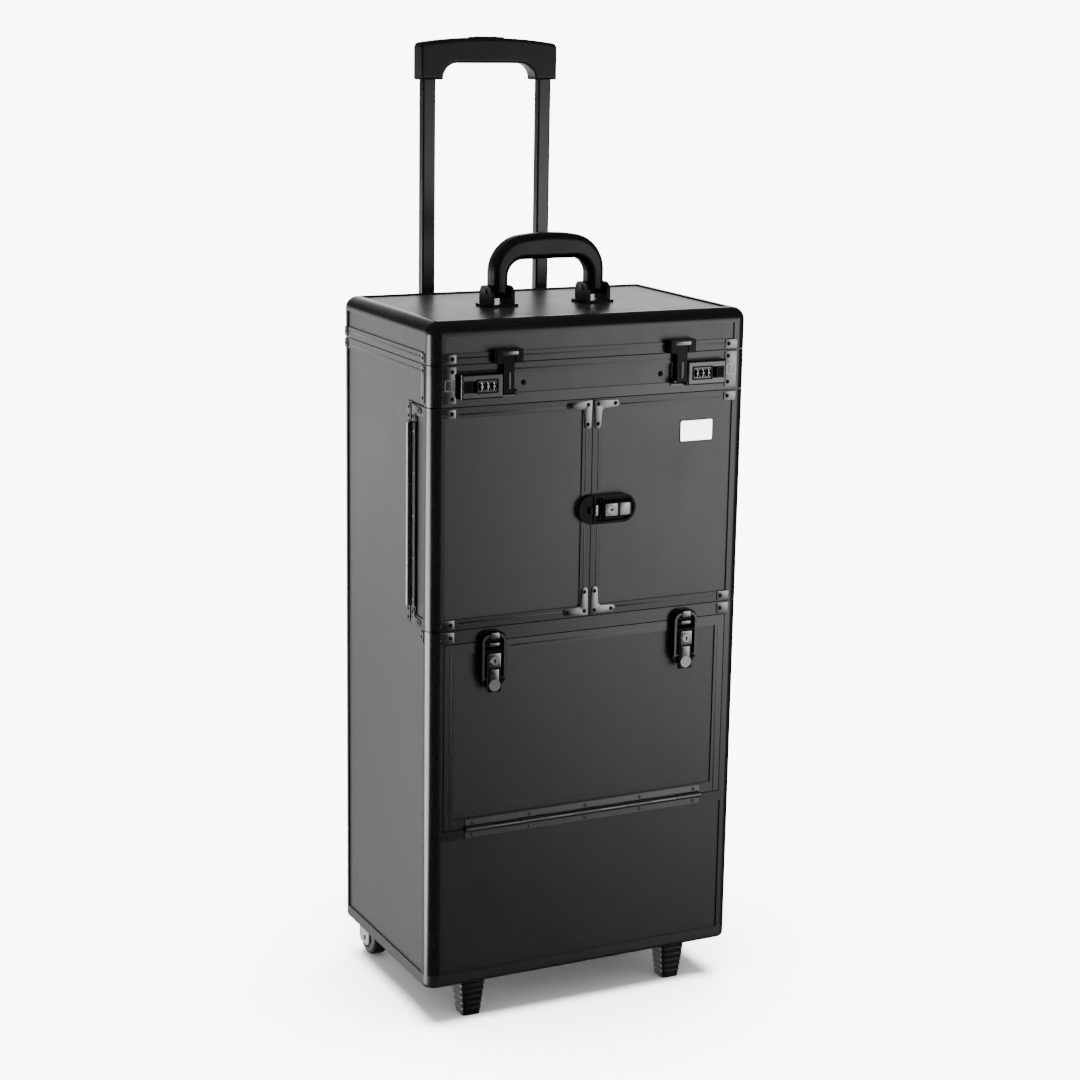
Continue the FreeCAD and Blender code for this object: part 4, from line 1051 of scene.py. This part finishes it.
@dataclass
class LatchTrim(Assembly):
    """Bright plates, key plug and a keyhole of painted shade on a draw latch's lever, its cap, and the
    clips on the bails.

    Attributes:
        face: face of the case to the lever's front.
        rim: face of the case to the rim of the latch's dish.
        key: seam to the key plug.
        plate: thickness of the bright plates.
        width: widest of them.
        reach: length of the plate round the key plug.
        band: black gap between the plates.
        plug: height of the key plug above its plate.
        plug_radii: its radius at the top and at the foot.
        hole: radius of the keyhole.
        slit: width and length of the keyhole's slit.
        slit_drop: keyhole's middle to the slit's.
        waist: what the neck of a thumb plate is narrower than the plates.
        flap_tip: seam to the end of a flap lever's thumb plate.
        door_tip: seam to the end of the door lever's plate.
        cap: width, length and thickness of the cap on the dish's rim.
        cap_drop: seam to the cap's middle.
        cap_sunk: how far the cap reaches into the rim.
        clip_size: width and length of a bail's clip.
        clip_drop: bail's far end to the clip's middle.
    """

    face: float = 10.2
    rim: float = 6
    key: float = 19.5
    plate: float = 0.5
    width: float = 13.4
    reach: float = 15
    band: float = 2.4
    plug: float = 0.5
    plug_radii: Point = (4.9, 5.3)
    hole: float = 1.4
    slit: Point = (1.1, 3.6)
    slit_drop: float = 1.3
    waist: float = 4
    flap_tip: float = 53.2
    door_tip: float = 42
    cap: tuple[float, float, float] = (12, 3.6, 2.8)
    cap_drop: float = 2.9
    cap_sunk: float = 0.2
    clip_size: Point = (11, 6.4)
    clip_drop: float = 1.6

    def build(self) -> None:
        """Make the trim of the two flap latches and the door latch."""
        front = self.case.front
        seam = extent("flap_keepers")[0].z
        for side in Side:
            name = f"{side.word}_flap_latch"
            lever = f"{name}_lever"
            middle = sum(corner.x for corner in extent(lever)) / 2
            place = Face.FRONT.at(middle, front, seam)
            form = self.key_plate(place)
            self.thumb_plate(form, place)
            form.piece(f"{name}_plates", NICKEL, lever, "latch_nickel")
            self.fittings(place, name, lever, "flap")
            self.clip(side)
        middle = sum(corner.z for corner in extent("door_latch_lever")) / 2
        seam = extent("door_keeper")[1].x
        across = Face.FRONT.at(seam, front, middle) @ Matrix.Rotation(math.radians(90), 4, "Z")
        form = self.key_plate(across)
        self.end_plate(form, across)
        form.piece("door_latch_plates", NICKEL, "door_latch_lever", "latch_nickel")
        self.fittings(across, "door_latch", "door_latch_lever", "right_door")

    @property
    def second(self) -> float:
        """Seam to the start of the second bright plate."""
        return self.key + self.reach / 2 + self.band

    def key_plate(self, place: Matrix) -> Form:
        """Start a lever's plates with the one round its key plug.

        Args:
            place: the seam's place on the face and the latch's direction, which runs along -y.

        Returns:
            The plates so far.
        """
        form = Form()
        bed = place @ Matrix.Translation((0, -self.key, self.face))
        form.slab(rectangle(self.width, self.reach), self.plate, [bed], 1, 0.25)
        plug = bed @ Matrix.Translation((0, 0, self.plate))
        top, foot = self.plug_radii
        form.turned([(0, self.plug), (top, self.plug), (foot, 0)], [plug], 28)
        return form

    def thumb_plate(self, form: Form, place: Matrix) -> None:
        """Add a flap lever's neck and round thumb plate.

        Args:
            form: the lever's plates so far.
            place: the seam's place on the face and the latch's direction.
        """
        bed = place @ Matrix.Translation((0, 0, self.face))
        radius = self.width / 2
        neck = self.flap_tip - radius - self.second
        outline = rectangle(self.width - self.waist, neck, 0, -self.second - neck / 2)
        form.slab(outline, self.plate, [bed], 0.6, 0.25)
        rise = self.plate + 0.25
        profile = [(0, rise), (radius - 0.3, rise), (radius, rise - 0.3), (radius, 0)]
        form.turned(profile, [bed @ Matrix.Translation((0, radius - self.flap_tip, 0))], 28)

    def end_plate(self, form: Form, place: Matrix) -> None:
        """Add the door lever's square end plate.

        Args:
            form: the lever's plates so far.
            place: the seam's place on the face and the latch's direction.
        """
        bed = place @ Matrix.Translation((0, -(self.second + self.door_tip) / 2, self.face))
        outline = rectangle(self.width, self.door_tip - self.second)
        form.slab(outline, self.plate, [bed], (2.4, 2.4, 0.8, 0.8), 0.25)

    def fittings(self, place: Matrix, name: str, lever: str, base: str) -> None:
        """Add the keyhole on the lever, a thin black disc and slit of painted shade on the key plug, and
        the bright cap on the dish's rim.

        Args:
            place: the seam's place on the face and the latch's direction.
            name: start of the pieces' names.
            lever: the lever's body.
            base: the body that carries the dish.
        """
        # Painted shade: the keyhole is no hole but a thin black disc and slit laid on the key plug.
        dark = Form()
        lock = place @ Matrix.Translation((0, -self.key, self.face + self.plate + self.plug))
        dark.turned([(0, 0.06), (self.hole, 0.06), (self.hole, -0.1)], [lock], 16)
        dark.slab(rectangle(*self.slit, 0, -self.slit_drop), 0.04, [lock], 0.3)
        dark.piece(f"{name}_keyhole", LATCH_BLACK, lever, "latch_black")
        cap = Form()
        width, length, thickness = self.cap
        bed = place @ Matrix.Translation((0, -self.cap_drop, self.rim - self.cap_sunk))
        cap.slab(rectangle(width, length), thickness, [bed], 1, 0.4)
        cap.piece(f"{name}_cap", NICKEL, base, "latch_nickel")

    def clip(self, side: Side) -> None:
        """Add the bright clip on the bail's far end.

        Args:
            side: the latch's side.
        """
        bail = f"{side.word}_flap_latch_bail"
        low, high = extent(bail)
        place = Face.FRONT.at((low.x + high.x) / 2, low.y, high.z - self.clip_drop)
        form = Form()
        form.slab(rectangle(*self.clip_size), 0.8, [place], (1, 1, 2.4, 2.4), 0.3)
        form.piece(f"{side.word}_bail_clip", NICKEL, bail, "latch_nickel")


@dataclass
class LockTrim(Assembly):
    """Inlays, dial window, rivets and numbers of the two code locks.

    Attributes:
        inlay: thickness of the bright inlays.
        strap_line: width and length of the strap's inlay.
        strap_rise: strap's foot to the inlay's middle.
        catch_field: width and height of the catch's inlay.
        catch_drop: catch's top to that inlay's middle.
        window: width and height of the dials' window.
        window_rim: its bars.
        window_depth: its thickness.
        panel_rivet: case's middle to the rivet on the panel.
        rib: width and height of a finger rib.
        rib_step: rib to rib.
        ribs: number of ribs.
        figure_size: height and thickness of a number.
    """

    inlay: float = 0.5
    strap_line: Point = (3.2, 18)
    strap_rise: float = 15
    catch_field: Point = (19, 4)
    catch_drop: float = 3.6
    window: Point = (24.4, 14.6)
    window_rim: float = 1.5
    window_depth: float = 0.8
    panel_rivet: float = 80.5
    rib: Point = (0.8, 9)
    rib_step: float = 1.7
    ribs: int = 4
    figure_size: Point = (2.9, 0.12)

    def build(self) -> None:
        """Make the trim of both locks."""
        for side in Side:
            self.strap(side)
            self.catch(side)
            self.dial_window(side)
            self.slider(side)
            for turn in (1, 2, 3):
                self.numbers(side, turn)

    def strap(self, side: Side) -> None:
        """Add the strap's thin bright line.

        Args:
            side: the lock's side.
        """
        strap = f"{side.word}_lock_strap"
        low, high = extent(strap)
        form = Form()
        blade = Face.FRONT.at((low.x + high.x) / 2, low.y, low.z + self.strap_rise)
        form.slab(rectangle(*self.strap_line), self.inlay, [blade], 1.2, 0.2)
        form.piece(f"{side.word}_strap_inlay", WIRE_AND_SIDE_SHADE, strap, "latch_nickel")

    def catch(self, side: Side) -> None:
        """Add the catch's bright field above the strap's tip.

        Args:
            side: the lock's side.
        """
        middle = sum(corner.x for corner in extent(f"{side.word}_lock_strap")) / 2
        low, high = extent("lid_catches")
        form = Form()
        bar = Face.FRONT.at(middle, low.y, high.z - self.catch_drop)
        form.slab(rectangle(*self.catch_field), self.inlay, [bar], 1.4, 0.2)
        form.piece(f"{side.word}_catch_inlay", BRACKET, "lid", "latch_nickel")

    def dial_window(self, side: Side) -> None:
        """Add the dials' black window and the rivet on the panel beside the lock.

        Args:
            side: the lock's side.
        """
        face = extent("lock_bodies")[0].y
        low, high = extent(f"{side.word}_dial_2")
        middle = (low + high) / 2
        form = Form()
        place = Face.FRONT.at(middle.x, face, middle.z)
        form.ring(self.window, self.window_rim, self.window_depth, [place], 1)
        panel = self.case.front + self.case.skin
        form.rivets([Face.FRONT.at(side.value * self.panel_rivet, panel, middle.z)], 3, 1.4)
        form.piece(f"{side.word}_dial_window", LOCK_BLACK, "case", "lock_black")

    def slider(self, side: Side) -> None:
        """Add finger ribs to the slide button.

        Args:
            side: the lock's side.
        """
        button = f"{side.word}_lock_slider"
        low, high = extent(button)
        middle = (low + high) / 2
        first = middle.x - self.rib_step * (self.ribs - 1) / 2
        spots = [first + self.rib_step * turn for turn in range(self.ribs)]
        places = [Face.FRONT.at(x, low.y, middle.z) for x in spots]
        form = Form()
        form.slab(rectangle(*self.rib), 0.5, places, 0.2, 0.2)
        form.piece(f"{side.word}_slider_ribs", LOCK_BLACK, button, "lock_black")

    def numbers(self, side: Side, turn: int) -> None:
        """Add the numbers 0 to 9 round a dial.

        Args:
            side: the lock's side.
            turn: which dial, counted from the strap outwards.
        """
        dial = f"{side.word}_dial_{turn}"
        low, high = extent(dial)
        middle = (low + high) / 2
        radius = (high.z - low.z) / 2
        form = Form()
        for number in range(10):
            spin = Matrix.Rotation(math.radians(36 * number), 4, "X")
            place = Matrix.Translation(middle) @ spin @ Face.FRONT.at(0, -radius, 0)
            form.take(figure(str(number), *self.figure_size), [place])
        form.piece(f"{dial}_numbers", FIGURE, dial, "latch_nickel")


def figure(text: str, height: float, depth: float) -> bmesh.types.BMesh:
    """Make a raised figure, centred on its own origin.

    Args:
        text: the figure.
        height: its height.
        depth: its thickness.

    Returns:
        The figure as a shape in millimetres.
    """
    curve = bpy.data.curves.new("figure", "FONT")
    curve.body = text
    curve.size = height * 1.4
    curve.align_x = "CENTER"
    curve.align_y = "CENTER"
    curve.extrude = depth / 2
    curve.resolution_u = 2
    carrier = bpy.data.objects.new("figure", curve)
    bpy.context.scene.collection.objects.link(carrier)
    bpy.context.view_layer.update()
    solid = carrier.evaluated_get(bpy.context.evaluated_depsgraph_get())
    data = bpy.data.meshes.new_from_object(solid)
    shape = bmesh.new()
    shape.from_mesh(data)
    bmesh.ops.remove_doubles(shape, verts=shape.verts, dist=1e-4)
    bpy.data.objects.remove(carrier)
    bpy.data.curves.remove(curve)
    bpy.data.meshes.remove(data)
    return shape


@dataclass
class NamePlate(Assembly):
    """The blank white plate on the right door.

    Attributes:
        middle: x and z of its middle.
        size: width and height of its dark bed.
        margin: bed's width beyond the white plate, on both sides together.
        thickness: of the white plate.
        bed: thickness of the bed.
    """

    middle: Point = (126, 636.5)
    size: Point = (40, 23.5)
    margin: float = 1.6
    thickness: float = 1.2
    bed: float = 0.6

    def build(self) -> None:
        """Make the plate and its thin dark bed."""
        x, z = self.middle
        width, height = self.size
        place = Face.FRONT.at(x, self.case.front + self.case.skin, z)
        plate = Form()
        outline = rectangle(width - self.margin, height - self.margin)
        plate.slab(outline, self.thickness, [place], 1.2, 0.3)
        plate.piece("blank_plate", CARD, "right_door", "latch_nickel")
        bed = Form()
        bed.slab(rectangle(width, height), self.bed, [place], 1.6, 0.2)
        bed.piece("blank_plate_bed", LOCK_BLACK, "right_door", "lock_black")


@dataclass
class HandleTrim(Assembly):
    """Rivets of the carry handle's ears and details of the trolley handle.

    Attributes:
        ear_base: thickness of an ear's foot on the lid.
        ear_end: ears' ends to their rivets.
        ear_rivet: radius and height of those.
        collar: height of a tube's guide bush.
        collar_wall: its wall.
        proud: how far the bush stands above the tube and outside it.
        rib: width and length of a rib on the release button.
        rib_step: rib to rib.
        ribs: number of ribs.
    """

    ear_base: float = 1
    ear_end: float = 3.6
    ear_rivet: Point = (3.2, 1.3)
    collar: float = 3.2
    collar_wall: float = 2.1
    proud: Point = (0.5, 0.8)
    rib: Point = (1.1, 6.4)
    rib_step: float = 3
    ribs: int = 9

    def build(self) -> None:
        """Make the ears' rivets, the tubes' collars and the button's ribs."""
        self.ears()
        self.collars()
        self.button()

    def ears(self) -> None:
        """Add the rivets through the feet of the carry handle's ears."""
        low, high = extent("handle_ears")
        base = extent("lid_frame")[1].z + self.ear_base
        across = (high.x + inner_reach("handle_ears")) / 2
        ends = (low.y + self.ear_end, high.y - self.ear_end)
        places = [Face.TOP.at(side.value * across, y, base) for side in Side for y in ends]
        form = Form()
        form.rivets(places, *self.ear_rivet)
        form.piece("ear_rivets", NICKEL, "lid", "latch_nickel")

    def collars(self) -> None:
        """Add the guide bush at the upper end of each outer tube."""
        low, high = extent("outer_tubes")
        middle = (low + high) / 2
        inner = inner_reach("outer_tubes")
        above, outside = self.proud
        size = (high.x - inner + 2 * outside, high.y - low.y + 2 * outside)
        foot = high.z + above - self.collar
        places = [Face.TOP.at(side.value * (high.x + inner) / 2, middle.y, foot) for side in Side]
        form = Form()
        form.ring(size, self.collar_wall, self.collar, places, 4)
        form.piece("tube_collars", MOULDED, "case", "moulded_black")

    def button(self) -> None:
        """Add finger ribs to the release button."""
        low, high = extent("release_button")
        middle = (low + high) / 2
        first = middle.x - self.rib_step * (self.ribs - 1) / 2
        spots = [first + self.rib_step * turn for turn in range(self.ribs)]
        places = [Face.TOP.at(x, middle.y, high.z - 0.3) for x in spots]
        form = Form()
        form.slab(rectangle(*self.rib), 0.7, places, 0.4, 0.25)
        form.piece("button_ribs", MOULDED, "release_button", "moulded_black")


@dataclass
class FootRibs(Assembly):
    """Raised ribs round the tapered feet.

    Attributes:
        number: ribs on a foot.
        first: floor to the lowest rib.
        step: rib to rib.
        width: a rib's height.
        out: how far it stands out.
        foot: width of a foot on the floor and at the case.
    """

    number: int = 5
    first: float = 7
    step: float = 7
    width: float = 2.4
    out: float = 0.5
    foot: Point = (21, 30)

    def build(self) -> None:
        """Make the ribs of both feet."""
        low, high = extent("front_feet")
        middle_x = (high.x + inner_reach("front_feet")) / 2
        middle_y = (low.y + high.y) / 2
        rise = extent("base_frame")[0].z
        narrow, wide = self.foot
        form = Form()
        for turn in range(self.number):
            z = self.first + turn * self.step
            size = narrow + (wide - narrow) * z / rise + 2 * self.out
            places = [Face.TOP.at(side.value * middle_x, middle_y, z) for side in Side]
            form.slab(rectangle(size, size), self.width, places, 4.3, 0.4)
        form.piece("foot_ribs", MOULDED, "case", "moulded_black")


@dataclass
class Beads(Assembly):
    """Raised beads along the flat profiles beside the seams.

    Attributes:
        width: a bead's width.
        height: how far it stands out.
        inset: seam or edge to the bead.
        gap: edge of the doors' opening to a door's own edge.
        front_end: case's sides to the ends of the front beads.
        flank_end: half of what a side bead is shorter than the case's depth.
        flank_shift: case's middle to a side bead's middle.
        meeting: case's middle to the doors' upright beads.
        uprights: middle height and length of those, below and above the latch.
        lying: middle and length of the doors' lying beads.
        flap_length: flap's lying bead.
        flap_short: what its upright beads stop short of its foot.
    """

    width: float = 1.3
    height: float = 0.35
    inset: float = 7
    gap: float = 1
    front_end: float = 26
    flank_end: float = 19
    flank_shift: float = 3
    meeting: float = 7.5
    uprights: tuple[Point, Point] = ((500, 80), (612, 64))
    lying: Point = (93, 120)
    flap_length: float = 184
    flap_short: float = 2

    def bar(
        self,
        form: Form,
        face: Face,
        centre: Sequence[float],
        length: float,
        upright: bool = False,
    ) -> None:
        """Add one bead on a face.

        Args:
            form: the beads so far.
            face: the side of the case.
            centre: the bead's middle.
            length: its length.
            upright: whether it stands instead of lying.
        """
        size = (self.width, length) if upright else (length, self.width)
        form.slab(rectangle(*size), self.height, [face.at(*centre)], 0, 0.15)

    def build(self) -> None:
        """Make the beads of the rims, the doors and the flap."""
        self.rim("lid_beads", "lid", self.case.seam + self.inset)
        self.rim("rim_beads", "case", self.case.seam - self.inset)
        for side in Side:
            self.door(side)
        self.flap()

    def rim(self, name: str, body: str, z: float) -> None:
        """Add the beads round the front and the sides, along the lid's seam.

        Args:
            name: the piece's name.
            body: the body that carries them.
            z: their height.
        """
        c = self.case
        y = (c.front + c.back) / 2 + self.flank_shift
        form = Form()
        self.bar(form, Face.FRONT, (0, c.front, z), 2 * (c.half - self.front_end))
        for side in Side:
            length = c.back - c.front - 2 * self.flank_end
            self.bar(form, Face.of(side), (side.value * c.half, y, z), length)
        form.piece(name, PROFILE, body, "profile_black")

    def door(self, side: Side) -> None:
        """Add the beads of a door's meeting edge, top and foot.

        Args:
            side: the door's side.
        """
        c = self.case
        form = Form()
        for z, length in self.uprights:
            self.bar(form, Face.FRONT, (side.value * self.meeting, c.front, z), length, True)
        middle, length = self.lying
        edge = self.gap + self.inset
        for z in (c.door_low + edge, c.door_high - edge):
            self.bar(form, Face.FRONT, (side.value * middle, c.front, z), length)
        form.piece(f"{side.word}_door_beads", PROFILE, f"{side.word}_door", "profile_black")

    def flap(self) -> None:
        """Add the beads of the flap's top and sides."""
        front = self.case.front
        low, high = extent("flap_frame")
        top = high.z - self.inset
        form = Form()
        self.bar(form, Face.FRONT, (0, front, top), self.flap_length)
        for side in Side:
            centre = (side.value * (high.x - self.inset), front, (low.z + top) / 2)
            self.bar(form, Face.FRONT, centre, top - low.z - self.flap_short, True)
        form.piece("flap_beads", BAND, "flap", "profile_black")


@dataclass
class Solids:
    """The solid pieces of the case, which get their finishes here.

    Attributes:
        slots: material slot of each node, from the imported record.
    """

    slots: dict[str, str] = field(default_factory=dict)

    def dress(self) -> None:
        """Give every node the finish of its slot, or the one that is its own."""
        for part in frame["record"]["subparts"]:
            self.slots[part["node"]] = part["material_slot"]
        for name, piece in frame["nodes"].items():
            kind = next((key for key in NODE_FINISH if name.endswith(key)), None)
            finish = NODE_FINISH[kind] if kind else SLOT_FINISH[self.slots[name]]
            material = finish.material()
            piece.data.materials.clear()
            piece.data.materials.append(material)
            log.info("solid %s: %s", name, material.name)


@dataclass
class Studio:
    """Pale floor, soft lights and the camera.

    Attributes:
        eye: the camera's place in metres.
        yaw: turn from straight ahead, in degrees.
        pitch: tilt below the horizon, in degrees.
        roll: lean of the picture, in degrees.
        lens: focal length in mm.
        picture: width of the picture in the camera, in mm.
        clip_end: how far the camera sees, in metres.
        floor_reach: radius of the floor's level part, in metres.
        floor_rim: width and rise of its rim.
        floor_colour: its near-white paint.
        room_reach: radius of the mirrored room, in metres.
        room_height: height of its middle.
        sky_light: strength of the even light.
        overhead_light: strength of the broad light from above.
        overhead_spread: its width, in degrees.
        shade: brightness of the mirrored room's dark parts.
        room: brightness of its rear wall, its left wall, the board on its left and its front wall.
    """

    eye: tuple[float, float, float] = (-1.117, -2.27175, 1.083)
    yaw: float = 26.36
    pitch: float = 13.03
    roll: float = 0.93
    lens: float = 77.7
    picture: float = 36
    clip_end: float = 3000
    floor_reach: float = 400
    floor_rim: Point = (400, 10)
    floor_colour: tuple[float, float, float] = (0.94, 0.94, 0.935)
    room_reach: float = 1.5
    room_height: float = 0.4
    sky_light: float = 1.2
    overhead_light: float = 29
    overhead_spread: float = 46
    shade: float = 0.08
    room: tuple[float, float, float, float] = (2.6, 1.5, 18.0, 5.6)

    def build(self) -> None:
        """Make the floor, the lights, what the gloss mirrors and the camera."""
        self.floor()
        self.sky()
        self.mirrored_room()
        self.overhead()
        self.camera()

    def floor(self) -> None:
        """Add a wide matt floor with a rising rim, which the gloss doesn't mirror."""
        mesh = bmesh.new()
        bmesh.ops.create_circle(mesh, cap_ends=True, segments=64, radius=self.floor_reach)
        raised = bmesh.ops.extrude_edge_only(mesh, edges=mesh.edges[:])["geom"]
        rim = [item for item in raised if isinstance(item, bmesh.types.BMVert)]
        width, rise = self.floor_rim
        grown = 1 + width / self.floor_reach
        bmesh.ops.scale(mesh, vec=(grown, grown, 1), verts=rim)
        bmesh.ops.translate(mesh, vec=(0, 0, rise), verts=rim)
        bmesh.ops.recalc_face_normals(mesh, faces=mesh.faces)
        board = Board("studio_floor")
        board.shade(Base_Color=(*self.floor_colour, 1), Roughness=0.9)
        floor = self.prop("studio_floor", mesh, board)
        floor.visible_glossy = False

    @staticmethod
    def prop(name: str, mesh: bmesh.types.BMesh, board: Board) -> bpy.types.Object:
        """Turn a mesh into a staged object.

        Args:
            name: the object's name.
            mesh: its shape, which is used up.
            board: the board that holds its material.

        Returns:
            The staged object.
        """
        data = bpy.data.meshes.new(name)
        mesh.to_mesh(data)
        mesh.free()
        data.materials.append(board.material)
        made = bpy.data.objects.new(name, data)
        bpy.context.scene.collection.objects.link(made)
        return made

    def sky(self) -> None:
        """Add even white light from all round."""
        world = bpy.data.worlds.new("studio_sky")
        world.use_nodes = True
        background = world.node_tree.nodes["Background"].inputs
        background["Color"].default_value = (1, 1, 1, 1)
        background["Strength"].default_value = self.sky_light
        bpy.context.scene.world = world

    def mirrored_room(self) -> None:
        """Add the room that glossy faces mirror and nothing else sees."""
        mesh = bmesh.new()
        lift = Matrix.Translation((0, 0, self.room_height))
        bmesh.ops.create_uvsphere(mesh, u_segments=64, v_segments=32, radius=self.room_reach, matrix=lift)
        board = Board("mirrored_room")
        light = self.room_light(board)
        board.shade(Base_Color=(0, 0, 0, 1), Roughness=1, Specular_IOR_Level=0, Emission_Strength=1)
        board.shade(Emission_Color=board.node("ShaderNodeCombineColor", {}, {0: light, 1: light, 2: light}))
        room = self.prop("mirrored_room", mesh, board)
        for kind in ("camera", "diffuse", "transmission", "volume_scatter", "shadow"):
            setattr(room, f"visible_{kind}", False)

    def room_light(self, board: Board) -> Wire:
        """Light a dark room by three pale walls and a bright board on the left.

        Args:
            board: the board that holds the room's material.

        Returns:
            The brightness at each place of the room.
        """
        scale = 1 / self.room_reach
        middle = (0, 0, -self.room_height * scale)
        centred = {"Vector": board.place, "Location": middle, "Scale": (scale,) * 3}
        ahead = board.node("ShaderNodeMapping", {}, centred)

        def towards(direction: Sequence[float], start: float, end: float) -> Wire:
            """Mask the part of the room that lies in a direction.

            Args:
                direction: the direction, seen from the room's middle.
                start: share of the direction at which the mask begins to rise.
                end: share of the direction from which it is full.

            Returns:
                The mask, from 0 to 1.
            """
            pair = {0: ahead, 1: Vector(direction).normalized()}
            along = board.node("ShaderNodeVectorMath", {"operation": "DOT_PRODUCT"}, pair, "Value")
            ease = {"Value": along, "From Min": start, "From Max": end}
            return board.node("ShaderNodeMapRange", {"interpolation_type": "SMOOTHSTEP"}, ease)

        up = (0, 0, 1)
        right = (1, 0, 0)
        forward = (0, -1, 0)
        rear = (1 - towards(up, 0.46, 0.60)) * towards((0.45, 0.85, 0.30), 0.70, 0.92)
        fade = 0.72 + 0.58 * towards(up, -0.32, 0.06)
        flank = fade * (1 - towards(up, 0.14, 0.30)) * towards((-0.55, 0.82, -0.10), 0.62, 0.90)
        left = (1 - towards(up, 0.14, 0.22)) * towards((-0.93, 0.13, -0.20), 0.90, 0.95)
        across = towards(right, 0.15, 0.62) * (1 - towards(right, 0.66, 0.84))
        height = towards(up, -0.70, 0.15) * (1 - towards(up, 0.24, 0.40))
        front = across * towards(forward, 0.2, 0.5) * height
        walls = zip(self.room, (rear, flank, left, front))
        return sum((strength * wall for strength, wall in walls), self.shade)

    def overhead(self) -> None:
        """Add the broad light from above, which the gloss doesn't mirror."""
        data = bpy.data.lights.new("overhead", "SUN")
        data.energy = self.overhead_light
        data.angle = math.radians(self.overhead_spread)
        lamp = bpy.data.objects.new("overhead", data)
        lamp.visible_glossy = False
        bpy.context.scene.collection.objects.link(lamp)

    def camera(self) -> None:
        """Set the camera at the picture's angle."""
        yaw, pitch, roll = (math.radians(angle) for angle in (self.yaw, self.pitch, self.roll))
        ahead = Vector((
            math.sin(yaw) * math.cos(pitch),
            math.cos(yaw) * math.cos(pitch),
            -math.sin(pitch),
        ))
        right = Vector((math.cos(yaw), -math.sin(yaw), 0))
        up = right.cross(ahead)
        leaned_right = math.cos(roll) * right + math.sin(roll) * up
        leaned_up = math.cos(roll) * up - math.sin(roll) * right
        data = bpy.data.cameras.new("camera")
        data.lens = self.lens
        data.sensor_width = self.picture
        data.clip_end = self.clip_end
        camera = bpy.data.objects.new("camera", data)
        camera.matrix_world = Matrix((
            (leaned_right.x, leaned_up.x, -ahead.x, self.eye[0]),
            (leaned_right.y, leaned_up.y, -ahead.y, self.eye[1]),
            (leaned_right.z, leaned_up.z, -ahead.z, self.eye[2]),
            (0, 0, 0, 1),
        ))
        bpy.context.scene.collection.objects.link(camera)
        bpy.context.scene.camera = camera


def main() -> None:
    """Build every sub-assembly in order."""
    logging.basicConfig(level=logging.INFO, format="%(name)s %(message)s")
    Solids().dress()
    case = Case()
    assemblies: tuple[type[Assembly], ...] = (
        CornerPlates,
        DoorBrackets,
        HingeScrews,
        LatchTrim,
        LockTrim,
        NamePlate,
        HandleTrim,
        FootRibs,
        Beads,
    )
    for assembly in assemblies:
        assembly(case).build()
    Studio().build()


if __name__ == "__main__":
    main()
